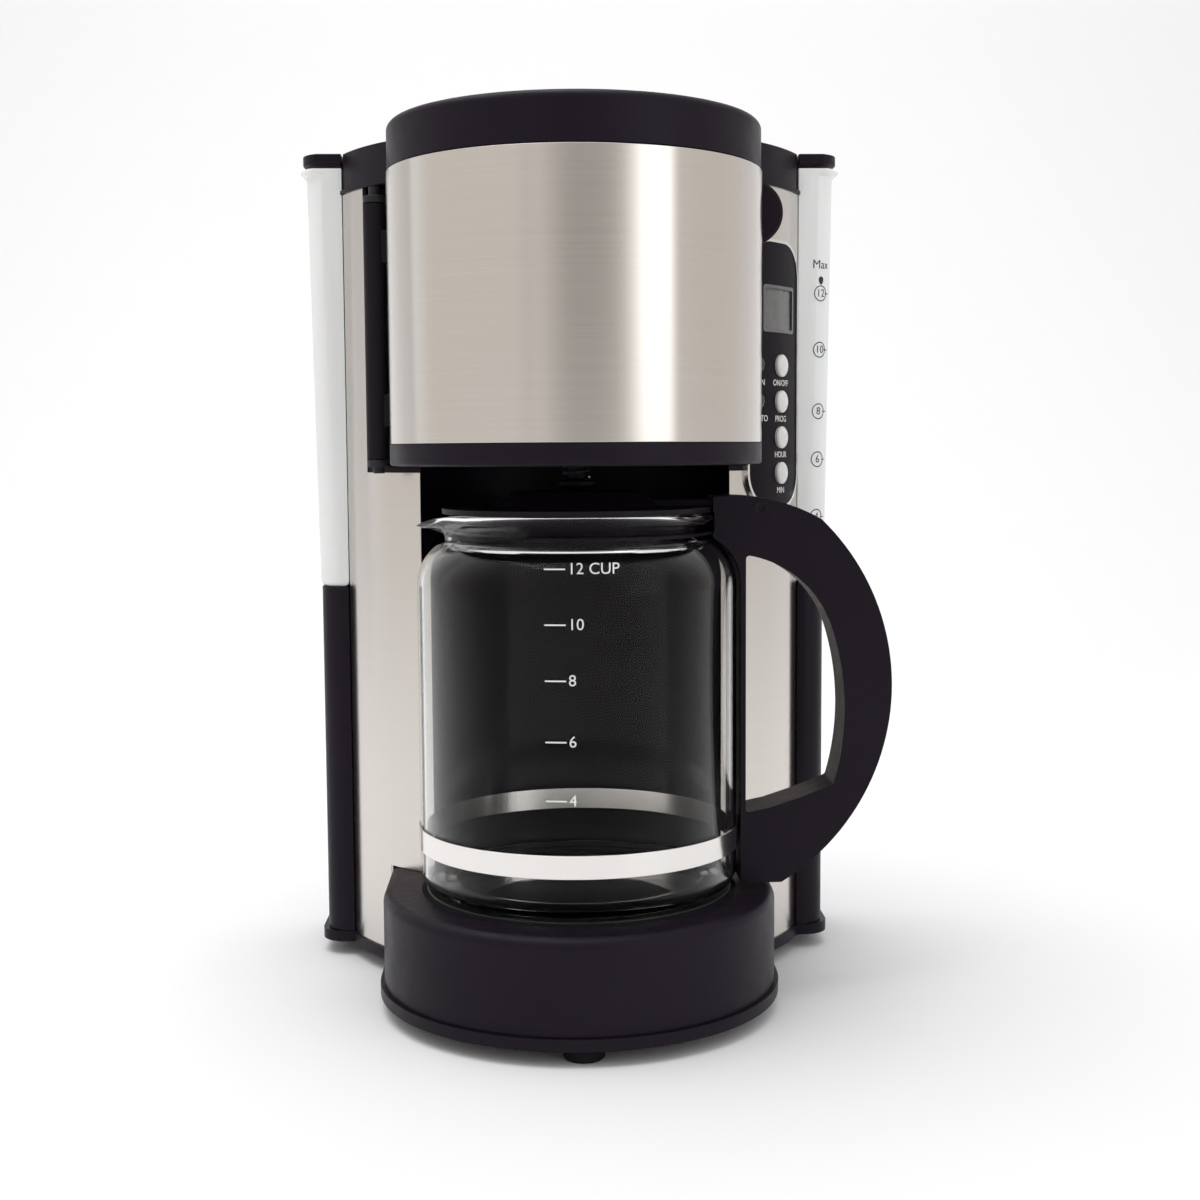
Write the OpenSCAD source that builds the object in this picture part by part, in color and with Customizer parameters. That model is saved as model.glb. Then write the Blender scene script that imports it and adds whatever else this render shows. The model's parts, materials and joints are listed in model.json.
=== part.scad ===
// Drip coffee maker: a swing-out brew head over a glass carafe on a round warming base, with
// a programmable front panel on the right and a translucent water tank across the back.
// Millimetres, +Z up. The front faces -Y and the carafe handle points to +X. The origin is the
// middle of the model's footprint, on the table. "Brew axis" is the upright line through the
// middle of the carafe, the brew head and the warming plate.

/* [Brew head] */
// Radius of the brew head over its steel wrap
head_r = 79; // [72:0.5:96]
// Height of the steel wrap
wrap_h = 112.8; // [92:0.2:138]
// Thickness of every brushed steel skin
skin_t = 0.8; // [0.5:0.1:1.2]
// Height of the black ring under the wrap
ring_h = 9; // [7:0.5:12]
// Height of the cap over the seam
cap_h = 19.8; // [16:0.1:25]
// Radius of the cap's rounded top edge
cap_round = 3.4; // [2:0.2:6]
// Gap between the head and the recess behind it
recess_gap = 3; // [2.5:0.5:5]

/* [Carafe] */
// Outer radius of the glass
carafe_r = 68.5; // [57:0.5:83]
// Height of the glass from its base to its rim
carafe_h = 160.5; // [134:0.5:193]
// Thickness of the glass wall
glass_t = 2.4; // [1.8:0.1:3]
// Outer radius of the neck
neck_r = 54; // [46:0.5:56]
// Height of the steel band
band_h = 9.6; // [7:0.1:12]
// Height of the band's lower edge over the glass base
band_up = 17.8; // [14:0.1:22]
// How far the handle reaches out from the glass
handle_out = 65.9; // [54:0.1:80]
// Width of the handle across its flat sides
handle_w = 24; // [19:0.5:29]
// Depth of the hand grip, from its inner to its outer edge
grip_d = 20.3; // [16:0.1:25]

/* [Base] */
// Height of the rubber feet
foot_h = 6.5; // [5:0.5:9]
// Radius of the rubber feet
foot_r = 8.5; // [7:0.5:10]
// Thickness of the bottom plate
plate_t = 5; // [4:0.5:6]
// Height of the base drum over the bottom plate
drum_h = 39.5; // [34:0.5:47]
// How far the base drum stands out past the glass
drum_margin = 16.4; // [14:0.2:20]
// Radius of the drum's rounded top edge
drum_round = 4.5; // [2:0.5:6]
// How far the bottom plate stands out past the drum
plate_lip = 1.8; // [1:0.2:3]

/* [Body] */
// How far each side of the body stands out past the brew head
body_shoulder = 26; // [24:0.5:32]
// Room between the deepest hollow and the back of the body
body_room = 6; // [6:0.5:24]
// Thickness of the moulded plastic walls
wall = 2.5; // [2:0.1:3]
// Height of the gap between the carafe rim and the brew head
head_gap = 20.5; // [18:0.5:25]
// Gap between the carafe and the bay behind it
bay_gap = 3.5; // [2.5:0.5:5]

/* [Water tank] */
// Depth of the tank behind the body
tank_d = 50; // [42:0.5:60]
// Height of the rear housing that carries the tank, over the bottom plate
shelf_h = 165; // [138:1:180]
// Thickness of the tank's wall
tank_wall = 2.2; // [1.8:0.1:3]
// Width of the upright columns beside the body
column_w = 13.8; // [11.5:0.1:16.6]
// Radius of the columns' outer front corner
column_round = 12; // [9:0.5:13]
// How much narrower the tank is at its foot than at its rim, on each side
tank_draft = 3; // [1:0.5:5]
// Thickness of the tank lid
lid_t = 4.6; // [3:0.2:6]

/* [Control panel] */
// Width of the panel across its chord
panel_w = 42; // [38:0.5:44]
// Height of the panel
panel_h = 118; // [104:1:124]
// Radius of the push buttons
button_r = 5; // [4:0.1:5.6]
// Distance between neighbouring buttons
button_pitch = 16.2; // [13.5:0.1:17]
// Travel of a button
button_travel = 1; // [0.6:0.1:1.4]

/* [Hidden] */
$fn = 96;
eps = 0.01;
slip = 0.3;        // gap between pieces that move past each other
fit_gap = 0.05;    // radial gap between a pin and its hole

// Levels
z_plate = foot_h;
z_base = z_plate + plate_t;
z_deck = z_base + drum_h;
hot_plate_t = 1.5;
hot_plate_up = 1.2;
z_hot = z_deck + hot_plate_up;
z_glass = z_hot + slip;
z_rim = z_glass + carafe_h;
z_ring = z_rim + head_gap;
z_wrap = z_ring + ring_h;
z_seam = z_wrap + wrap_h;
z_cap = z_seam + cap_h;
z_rear = z_seam + 2;
z_ledge = z_ring - 0.9;
z_skin_ledge = z_ring - 3.2;
z_shelf = z_base + shelf_h;
z_tank_rim = z_cap - 3.7;

// Plan of the body: a wide arc in front of a straight-sided box
arc_half_angle = 65.5;
body_half_w = head_r + body_shoulder;
arc_r = body_half_w / sin(arc_half_angle);
arc_front_y = 0.3;
arc_y = arc_front_y + arc_r;
bay_r = carafe_r + bay_gap;
recess_r = head_r + recess_gap;
board_t = 1.6;
body_back = max(recess_r, bay_r + board_t + wall) + body_room;
drum_r = carafe_r + drum_margin;
plate_r = drum_r + plate_lip;
drum_back = arc_y - sqrt(arc_r * arc_r - drum_r * drum_r) + 0.5;

// Hinge of the brew head, in a pocket at the left of the recess
hinge_x = -(head_r + 7.5);
hinge_y = 26;
hinge_pin_r = 2.5;
knuckle_r = 5;
pocket_x = hinge_x - knuckle_r - 1.1;
pocket_y = 52;
bare_edge = 1.4;     // strip of the shell left bare beside the pocket
bracket_t = 3;

// Rear housing, tank and lid
column_gap = 0.6;
column_in = body_half_w + column_gap;
column_half_w = column_in + column_w;
column_front = arc_y - sqrt(arc_r * arc_r - body_half_w * body_half_w) + 1.2;
column_y = column_front + column_round;
rear_back = body_back + tank_d - 2.5;
rear_round = 18;
tank_half_w = column_half_w + 3.5;
tank_back = body_back + tank_d;
tank_front = body_back + 0.5;
rim_out = 2.7;
rim_t = 1.6;
lid_in = 1.2;
tank_hinge_r = 3.2;
tank_hinge_y = tank_back + rim_out + tank_hinge_r + 0.4;
tank_hinge_z = z_tank_rim + 1.4;
tank_pin_r = 1.5;
knuckle_w = 14;
knuckle_x = 38;

// Carafe and handle
handle_x = carafe_r + handle_out;
glass_gap = 0.9;
spine_x = carafe_r + glass_gap;
neck_step = 7.5;     // how far the shoulder's curve runs on past the neck
shoulder_r = carafe_r - neck_r + neck_step;
shoulder_z = carafe_h - 9.8 - sqrt(shoulder_r * shoulder_r - neck_step * neck_step);
rim_r = neck_r + 5;
lid_top = 9.2;
lid_pin_x = carafe_r + 8.9;
lid_pin_z = z_rim + 2;
lid_pin_r = 1.8;
band_t = 0.7;
spout_reach = 16.5;

// Brew basket
bucket_r = head_r - skin_t;
basket_rim_z = z_seam - 18;
basket_r = head_r - 17;
basket_foot_r = head_r - 33;
basket_z = z_wrap + 6;
outlet_r = 9;
valve_z = z_rim + lid_top + 0.5;
valve_travel = 4;
grip_disc_r = 13.8;
grip_disc_x = head_r - 3;

// Drip spring, between the valve's foot and the outlet tube
spring_r = 5.6;
spring_wire = 0.45;
spring_turns = 5;
spring_steps = 18;
spring_z0 = valve_z + 5.6;
spring_z1 = z_wrap + 1.4;
spring_pitch = (spring_z1 - spring_z0) / spring_turns;

// Control panel
panel_phi = 52;
panel_z = z_seam - 82;
panel_round = 15;
panel_trim = 1.2;
button_phi = 54;
lamp_phi = 45.7;
lamp_r = 3;
window_phi = 53.4;
window_w = 25;
window_h = 18;
window_z = panel_z + 29.5;
button_z = [for (i = [0 : 3]) panel_z + 4.2 - i * button_pitch];
button_in = 4.2;
board_in = button_in + button_travel + 0.4;
gland_x = 62;
gland_z = z_base + 18;

// Water path
ring_path_r = 40;
tube_r = 4.5;
tube_bore = 3;
skirt_h = 2;         // depth of the hot plate's skirt under the deck
tube_z = z_deck - wall - skirt_h - 0.3 - tube_r;
riser_angle = 50;
inlet_angle = 130;
riser_reach = head_r + 17.5;
inlet_reach = (body_back + 22) / sin(inlet_angle);
bend_r = 10;
riser_top_z = z_cap - 9;

// Feet and bottom screws: the front ones under the drum, the rear ones under the housing
foot_inset = 11;
screw_r = 1.7;
screw_boss_r = 4.5;
screw_len = 20;
front_screw = 0.61 * drum_r;
rear_foot_x = body_half_w - 7;
rear_screw_x = body_half_w - 25;
rear_foot_y = body_back + tank_d / 2 - 1;
foot_spots = [[0, foot_inset - drum_r], [-rear_foot_x, rear_foot_y], [rear_foot_x, rear_foot_y]];
front_screws = [[-front_screw, -front_screw], [front_screw, -front_screw]];
rear_screws = [[-rear_screw_x, rear_foot_y + 6], [rear_screw_x, rear_foot_y + 6]];
screw_spots = concat(front_screws, rear_screws);

// The brew axis in the model's own frame
tank_side = tank_half_w + rim_out;
axis_x = (tank_side - handle_x) / 2;
axis_y = (plate_r - (tank_hinge_y + tank_hinge_r)) / 2;

// ---- Helpers ----------------------------------------------------------------------------

// Moves the children from the brew axis to their place in the model's frame
module placed() translate([axis_x, axis_y, 0]) children();

// A point on the body's front arc: the children's -Y looks straight out of the surface
module on_front(phi, z)
    translate([0, arc_y, 0]) rotate([0, 0, phi]) translate([0, -arc_r, z]) children();

// Upright prism with rounded corners, pushed through the body's front surface
module front_prism(w, h, r, out, inside)
    rotate([90, 0, 0]) translate([0, 0, -inside]) linear_extrude(out + inside)
        rounded_rect(w, h, r);

module rounded_rect(w, h, r) {
    square([w - 2 * r, h], center = true);
    square([w, h - 2 * r], center = true);
    for (sx = [-1, 1], sz = [-1, 1])
        translate([sx * (w / 2 - r), sz * (h / 2 - r)]) circle(r);
}

// Wedge of plan between two angles, measured from the front (-Y) towards +X
module wedge(from, to, reach)
    translate([0, arc_y]) polygon([[0, 0], reach * [sin(from), -cos(from)],
        reach * 1.3 * [sin((from + to) / 2), -cos((from + to) / 2)],
        reach * [sin(to), -cos(to)]]);

module tube(outer, inner, h) difference() {
    cylinder(r = outer, h = h);
    translate([0, 0, -1]) cylinder(r = inner, h = h + 2);
}

// Plan of the body, with its front arc pulled in by arc_in and its sides by side_in
module body_plan(arc_in, side_in, back) intersection() {
    translate([0, arc_y]) circle(arc_r - arc_in, $fn = 180);
    translate([-(body_half_w - side_in), -20]) square([2 * (body_half_w - side_in), 20 + back]);
}

// Plan of the base drum: a half circle in front of straight sides
module drum_plan(r) {
    circle(r, $fn = 144);
    translate([-r, 0]) square([2 * r, drum_back]);
}

// Plan of a column: flat beside the body, with a rounded outer front corner
module column_plan(side, half_w, back, inset) intersection() {
    union() {
        translate([side * (half_w - column_round), column_y])
            circle(column_round - inset, $fn = 72);
        translate([side > 0 ? 0 : -half_w + inset, column_y])
            square([half_w - inset, back - column_y]);
        translate([side > 0 ? 0 : -half_w + column_round, column_front + inset])
            square([half_w - column_round, column_round]);
    }
    inner = column_in + max(inset, 0);
    translate([side > 0 ? inner : -inner - half_w, column_front - half_w])
        square([half_w, half_w + back - column_front]);
}

// Plan of the tank and the housing under it: a box across the back with a column at each side
module rear_plan(half_w, back, inset, front) {
    corner = rear_round - inset;
    corner_x = half_w - rear_round;
    corner_y = back - rear_round;
    for (side = [-1, 1]) {
        column_plan(side, half_w, corner_y, inset);
        translate([side * corner_x, corner_y]) circle(corner, $fn = 72);
    }
    translate([-corner_x - corner, front]) square([2 * (corner_x + corner), corner_y - front]);
    translate([-corner_x, front]) square([2 * corner_x, back - inset - front]);
}

// A tube that runs out from the brew axis at height z0, bends up and ends at height z1
module bent_pipe(from, reach, z0, z1, r) {
    translate([from, 0, z0]) rotate([0, 90, 0]) cylinder(r = r, h = reach - bend_r - from);
    translate([reach - bend_r, 0, z0 + bend_r]) rotate([90, 90, 0])
        rotate_extrude(angle = 90) translate([bend_r, 0]) circle(r, $fn = 32);
    translate([reach, 0, z0 + bend_r]) cylinder(r = r, h = z1 - z0 - bend_r);
}

// ---- Base -------------------------------------------------------------------------------

module rubber_feet() color("dimgray") placed() for (spot = foot_spots)
    translate([spot.x, spot.y, 0]) rotate_extrude() polygon([[0, 0], [foot_r - 1, 0],
        [foot_r, 1], [foot_r - 0.8, foot_h], [3, foot_h], [3, foot_h + plate_t - 1],
        [0, foot_h + plate_t - 1]]);

module base_plate() color("#26242a") placed() difference() {
    translate([0, 0, z_plate]) linear_extrude(plate_t) {
        drum_plan(plate_r);
        body_plan(-1, -1, body_back);
        rear_plan(column_half_w + 2.5, rear_back + 2.5, 0, body_back - 4);
    }
    for (spot = foot_spots) translate([spot.x, spot.y, z_plate - 1])
        cylinder(r = 3 + fit_gap, h = plate_t + 2);
    for (spot = screw_spots) translate([spot.x, spot.y, z_plate - 1]) {
        cylinder(r = screw_r + 0.3, h = plate_t + 2);
        cylinder(r = 4, h = 3.6);
    }
}

module base_screws() color("silver") placed() for (spot = screw_spots)
    translate([spot.x, spot.y, z_plate + 0.4]) {
        cylinder(r = 3.6, h = 2.2);
        cylinder(r = screw_r, h = screw_len);
    }

// Bored hole for a bottom screw, from the seam with the bottom plate
module screw_hole(spot) translate([spot.x, spot.y, z_base - 1])
    cylinder(r = screw_r + fit_gap, h = screw_len + 4);

// Half of the drum's wall in profile, with its rounded top edge
module drum_profile(r, h, round) {
    square([r, h - round]);
    square([r - round, h]);
    translate([r - round, h - round]) circle(round, $fn = 48);
}

module drum_solid(r, h, round) {
    rotate([0, 0, 180]) rotate_extrude(angle = 180, $fn = 144) drum_profile(r, h, round);
    rotate([90, 0, 0]) translate([0, 0, -drum_back]) linear_extrude(drum_back) {
        drum_profile(r, h, round);
        mirror([1, 0]) drum_profile(r, h, round);
    }
}

module base_drum() color("#26242a") placed() {
    difference() {
        translate([0, 0, z_base]) drum_solid(drum_r, drum_h, drum_round);
        translate([0, 0, z_base - 1])
            linear_extrude(drum_h + 1 - wall) difference() {
                union() {
                    drum_plan(drum_r - wall);
                    translate([-(drum_r - wall), 0]) square([2 * (drum_r - wall), drum_back + 5]);
                }
                for (spot = front_screws) translate(spot) circle(screw_boss_r);
            }
        translate([0, 0, z_deck - wall - 1]) cylinder(r = carafe_r - 0.5, h = wall + 2);
        for (spot = front_screws) screw_hole(spot);
    }
}

module hot_plate() color("#3a3a3c") placed() rotate_extrude($fn = 144) {
    translate([0, z_hot - hot_plate_t]) square([carafe_r - 2.5, hot_plate_t]);
    translate([carafe_r - 4.5, z_deck - wall - skirt_h]) square([2, wall + skirt_h + hot_plate_up]);
}

module plate_seal() color("dimgray") placed() translate([0, 0, z_deck - wall])
    tube(carafe_r - 0.5, carafe_r - 2.5, wall + 0.4);

module heat_spreader() color("lightgray") placed() translate([0, 0, z_hot - hot_plate_t - 3.2])
    cylinder(r = carafe_r - 10, h = 3.2);

// Cast heating ring: a water channel and a heater rod joined by a web, open at the back
module heating_element() color("silver") placed() {
    top = z_hot - hot_plate_t - 3.2;
    sweep_from = inlet_angle;
    sweep = 360 - (inlet_angle - riser_angle);
    difference() {
        translate([0, 0, top - 5]) rotate([0, 0, sweep_from]) rotate_extrude(angle = sweep) {
            translate([ring_path_r, 0]) circle(5, $fn = 40);
            translate([ring_path_r - 5, 2]) square([10, 3]);
        }
        translate([0, 0, top - 5]) rotate([0, 0, sweep_from]) rotate_extrude(angle = sweep)
            translate([ring_path_r, 0]) circle(tube_bore, $fn = 32);
    }
    translate([0, 0, top - 4.2]) rotate([0, 0, sweep_from + 14])
        rotate_extrude(angle = sweep - 28) {
            translate([ring_path_r + 9.4, 0]) circle(4.2, $fn = 40);
            translate([ring_path_r + 4.5, 0]) square([4, 3]);
        }
}

module element_clamp() color("silver") placed()
    translate([-(ring_path_r + 8), -7, z_hot - hot_plate_t - 14.7]) difference() {
        cube([2 * ring_path_r + 16, 14, 1.5]);
        translate([ring_path_r + 8, 7, -1]) cylinder(r = 2.1, h = 4);
    }

module clamp_bolt() color("gray") placed() translate([0, 0, z_hot - hot_plate_t - 17.9]) {
    cylinder(r = 4, h = 3.2, $fn = 6);
    cylinder(r = 2, h = 8.7);
}

module thermostat() color("silver") placed() translate([0, 0, z_hot - hot_plate_t - 9.2]) {
    cylinder(r = 9, h = 6);
    for (side = [-1, 1]) translate([side * 8, -3, 0]) translate([side > 0 ? 0 : -7, 0, 0])
        cube([7, 6, 0.8]);
}

module thermal_fuse() color("white") placed()
    translate([-12, -21, z_hot - hot_plate_t - 3.2 - 2.6]) rotate([0, 90, 0]) {
        cylinder(r = 2.6, h = 24);
        translate([0, 0, -6]) cylinder(r = 0.6, h = 36);
    }

// ---- Body -------------------------------------------------------------------------------

// Every space cut into the front of the body, grown by the wall that lines it
module body_hollows(grow) {
    translate([0, 0, z_deck - 1]) cylinder(r = bay_r + grow, h = z_ledge - z_deck + 1 + eps);
    translate([0, 0, z_ledge - grow]) cylinder(r = recess_r + grow, h = z_rear - z_ledge + 9);
    translate([pocket_x - grow, -5, z_ledge - grow])
        cube([-pocket_x - 50 + grow, pocket_y + 5 + grow, z_rear - z_ledge + 9]);
}

module tower_shell() color("#232126") placed() difference() {
    translate([0, 0, z_base]) linear_extrude(z_rear - z_base) body_plan(skin_t, 0, body_back);
    difference() {
        translate([0, 0, z_base - 1]) linear_extrude(z_rear - z_base + 2)
            body_plan(skin_t + wall, wall, body_back + 5);
        body_hollows(wall);
    }
    body_hollows(0);
    translate([0, 0, z_base - 1]) linear_extrude(drum_h + 1) drum_plan(drum_r);
    on_front(panel_phi, panel_z) front_prism(panel_w - 6, panel_h - 8, panel_round - 3, 5, 9);
    translate([hinge_x, hinge_y, z_ledge - wall - 1]) cylinder(r = hinge_pin_r + fit_gap, h = wall + 2);
}

// Brushed steel skin on the body's front arc between two angles
module skin(from, to, z0, z1) translate([0, 0, z0]) linear_extrude(z1 - z0) intersection() {
    difference() {
        translate([0, arc_y]) circle(arc_r, $fn = 180);
        translate([0, arc_y]) circle(arc_r - skin_t, $fn = 180);
    }
    wedge(from, to, 3 * arc_r);
    translate([-body_half_w, -20]) square([2 * body_half_w, 20 + body_back]);
}

// Angle on the front arc at which x lies
function phi_at(x) = asin(x / arc_r);
// Half-width of a cylinder around the brew axis where it meets the front arc
function meet_x(r) = let(y = (r * r - arc_r * arc_r + arc_y * arc_y) / (2 * arc_y))
    sqrt(r * r - y * y);

module drum_cut(gap) translate([0, 0, z_base - 1]) linear_extrude(drum_h + 1 + gap)
    drum_plan(drum_r + gap);

module left_panel() color("silver") placed() difference() {
    union() {
        skin(-90, -phi_at(meet_x(bay_r)), z_base, z_skin_ledge);
        skin(-90, -phi_at(bare_edge - pocket_x), z_skin_ledge, z_rear);
    }
    drum_cut(0.2);
}

module right_panel() color("silver") placed() difference() {
    union() {
        skin(phi_at(meet_x(bay_r)), 90, z_base, z_skin_ledge);
        skin(phi_at(meet_x(recess_r)), 90, z_skin_ledge, z_rear);
    }
    drum_cut(0.2);
    on_front(panel_phi, panel_z)
        front_prism(panel_w + 2 * panel_trim, panel_h + 2 * panel_trim, panel_round + panel_trim, 9, 9);
}

module back_panel() color("#232126") placed() difference() {
    translate([-(body_half_w - wall), body_back - wall, z_base])
        cube([2 * (body_half_w - wall), wall, z_rear - z_base]);
    rotate([0, 0, inlet_angle]) translate([0, 0, tube_z]) rotate([0, 90, 0])
        cylinder(r = tube_r + 1, h = 3 * body_back);
}

module rear_housing() color("#26242a") placed() difference() {
    translate([0, 0, z_base]) linear_extrude(z_shelf - z_base)
        rear_plan(column_half_w, rear_back, 0, body_back);
    difference() {
        translate([0, 0, z_base - 1]) linear_extrude(z_shelf - z_base + 1 - wall)
            rear_plan(column_half_w, rear_back, wall, body_back - 1);
        for (spot = rear_screws) translate([spot.x, spot.y, z_base - 1])
            cylinder(r = screw_boss_r, h = screw_len + 10);
    }
    for (spot = rear_screws) screw_hole(spot);
    rotate([0, 0, inlet_angle]) translate([inlet_reach, 0, z_shelf - wall - 1])
        cylinder(r = 9.2, h = wall + 2);
    translate([gland_x, rear_back - wall - 1, gland_z]) rotate([-90, 0, 0])
        cylinder(r = 6.1, h = wall + 2);
}

// Bushing in the rear wall for the mains lead
module cord_gland() color("dimgray") placed()
    translate([gland_x, rear_back, gland_z]) rotate([-90, 0, 0]) difference() {
        union() {
            translate([0, 0, -wall - 4]) cylinder(r = 6, h = wall + 4);
            cylinder(r = 8.5, h = 3);
            translate([0, 0, -wall - 4]) cylinder(r = 7, h = 3.9);
        }
        translate([0, 0, -20]) cylinder(r = 3.6, h = 40);
    }

// Wing at the right rear corner that the mains lead is wound around
module cord_cleat() color("#26242a") placed() {
    wing_y = rear_back - rear_round - 2;
    translate([0, wing_y + 6, 0]) rotate([90, 0, 0]) linear_extrude(6) polygon([
        [column_half_w, z_base + 28], [column_half_w + 9, z_base + 36],
        [column_half_w + 11, z_base + 56], [column_half_w + 7, z_base + 60],
        [column_half_w, z_base + 76]]);
}

// ---- Top --------------------------------------------------------------------------------

module cap_profile(r, z0, z1, round) {
    translate([0, z0]) square([r, z1 - z0 - round]);
    translate([0, z0]) square([r - round, z1 - z0]);
    translate([r - round, z1 - round]) circle(round, $fn = 48);
}

module top_cover() color("#232126") placed() difference() {
    union() {
        rotate_extrude($fn = 144) cap_profile(head_r - 0.5, z_seam, z_cap, cap_round);
        translate([0, 0, z_rear]) linear_extrude(z_cap + 0.4 - z_rear) body_plan(0.4, 0.4, body_back);
        // Lip over the steel skins, out to just in front of the tank's columns
        translate([0, 0, z_rear]) linear_extrude(1.8) {
            body_plan(-0.8, -0.3, body_back);
            body_plan(-0.8, -1.4, column_front - 0.3);
        }
        // Fills the step between the round cap's seam and the body's top edge
        translate([0, 0, z_seam + 0.6]) linear_extrude(z_rear - z_seam) intersection() {
            body_plan(skin_t + wall + 0.3, wall + 0.3, body_back - wall - 0.3);
            circle(recess_r - 0.4, $fn = 144);
        }
    }
    translate([0, 0, z_seam - 1])
        cylinder(r = head_r - 0.5 - wall, h = z_cap - wall - z_seam + 1, $fn = 144);
    translate([0, 0, z_rear - 1]) linear_extrude(z_cap - wall - z_rear + 1)
        body_plan(skin_t + wall, wall, body_back - wall);
}

// Underside of the round cap, around the shower head
module cap_liner() color("#2c2a30") placed() translate([0, 0, z_seam])
    tube(head_r - 0.5 - wall, 36, 2);

module shower_head() color("gainsboro") placed() difference() {
    union() {
        translate([0, 0, z_seam + 0.4]) cylinder(r = 35.6, h = 1.6);
        translate([0, 0, z_seam + 2]) cylinder(r = 38, h = 4.5);
        translate([0, 0, z_seam + 6.5]) cylinder(r = 12, h = z_cap - wall - z_seam - 7);
    }
    for (ring = [[10, 6], [19, 12], [28, 18]], i = [1 : ring[1]])
        rotate([0, 0, i * 360 / ring[1]]) translate([ring[0], 0, z_seam - 1])
            cylinder(r = 1.1, h = 4.2, $fn = 16);
    translate([0, 0, z_seam + 2.6]) cylinder(r = 34, h = 3);
}

// Silicone tube from the heating ring up behind the recess and over to the shower head
module riser_tube() color("ivory") placed() rotate([0, 0, riser_angle]) difference() {
    union() {
        bent_pipe(ring_path_r + 5, riser_reach, tube_z, riser_top_z - bend_r, tube_r);
        translate([riser_reach - bend_r, 0, riser_top_z - bend_r]) rotate([90, 0, 0])
            rotate_extrude(angle = 90) translate([bend_r, 0]) circle(tube_r, $fn = 32);
        translate([12, 0, riser_top_z]) rotate([0, 90, 0])
            cylinder(r = tube_r, h = riser_reach - bend_r - 12);
    }
    bent_pipe(ring_path_r + 4, riser_reach, tube_z, riser_top_z - bend_r, tube_bore);
    translate([riser_reach - bend_r, 0, riser_top_z - bend_r]) rotate([90, 0, 0])
        rotate_extrude(angle = 90) translate([bend_r, 0]) circle(tube_bore, $fn = 32);
    translate([11, 0, riser_top_z]) rotate([0, 90, 0])
        cylinder(r = tube_bore, h = riser_reach - bend_r - 11);
}

// Silicone tube from the tank's outlet down to the heating ring
module inlet_tube() color("ivory") placed() rotate([0, 0, inlet_angle]) difference() {
    bent_pipe(ring_path_r + 5, inlet_reach, tube_z, z_shelf - wall - 6, tube_r);
    bent_pipe(ring_path_r + 4, inlet_reach, tube_z, z_shelf - wall - 5, tube_bore);
}

module check_valve() color("white") placed() rotate([0, 0, inlet_angle])
    translate([inlet_reach, 0, z_shelf - 60]) difference() {
        union() {
            cylinder(r = tube_r + 3, h = 26);
            translate([0, 0, 10]) cylinder(r = tube_r + 4.5, h = 6);
        }
        translate([0, 0, -1]) cylinder(r = tube_r, h = 28);
    }

// ---- Water tank -------------------------------------------------------------------------

// One level of the tank's plan, as a thin slab: part 0 is the box, -1 and 1 its two columns
module tank_slab(part, z, shrink, inset) translate([0, 0, z]) linear_extrude(eps) {
    half_w = tank_half_w - shrink;
    back = tank_back - shrink;
    if (part == 0) {
        for (side = [-1, 1]) translate([side * (half_w - rear_round), back - rear_round])
            circle(rear_round - inset, $fn = 48);
        translate([-half_w + inset, tank_front + inset])
            square([2 * (half_w - inset), back - rear_round - tank_front - inset]);
    } else {
        column_plan(part, half_w, tank_front + inset + 7, inset);
    }
}

module tank_body(z0, z1, shrink0, inset) for (part = [-1, 0, 1]) hull() {
    tank_slab(part, z0, shrink0, inset);
    tank_slab(part, z1 - eps, 0, inset);
}

// Plan of the rim: it stands out at the sides and the back, and is flush with the columns' front
module tank_rim_plan(out) intersection() {
    rear_plan(tank_half_w, tank_back, -out, tank_front);
    translate([-tank_side, column_front]) square([2 * tank_side, tank_back]);
}

module water_tank() color("#f4f3ee", 0.6) placed() difference() {
    union() {
        tank_body(z_shelf, z_tank_rim, tank_draft, 0);
        translate([0, 0, z_tank_rim - rim_t]) linear_extrude(rim_t) tank_rim_plan(rim_out);
        for (side = [-1, 1]) translate([side * knuckle_x - knuckle_w / 2, 0, 0]) {
            translate([0, tank_hinge_y, tank_hinge_z]) rotate([0, 90, 0])
                cylinder(r = tank_hinge_r, h = knuckle_w);
            translate([0, tank_back + 1, z_tank_rim - 4])
                cube([knuckle_w, tank_hinge_y - tank_back, 4]);
        }
    }
    tank_body(z_shelf + 2.5, z_tank_rim + 1, tank_draft, tank_wall);
    for (side = [-1, 1]) translate([side * knuckle_x - knuckle_w, tank_hinge_y, tank_hinge_z])
        rotate([0, 90, 0]) cylinder(r = tank_pin_r, h = 2 * knuckle_w);
    rotate([0, 0, inlet_angle]) translate([inlet_reach, 0, z_shelf - 1]) cylinder(r = 7, h = 5);
}

// Rubber seal with a strainer between the tank's outlet and the inlet tube
module tank_outlet_seal() color("dimgray") placed() rotate([0, 0, inlet_angle])
    translate([inlet_reach, 0, z_shelf - wall - 6]) difference() {
        union() {
            cylinder(r = 7, h = wall + 8.5);
            cylinder(r = 9, h = wall + 6);
            translate([0, 0, wall + 8.5]) cylinder(r = 9, h = 1.5);
        }
        translate([0, 0, -1]) cylinder(r = 4, h = 40);
    }

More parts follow.
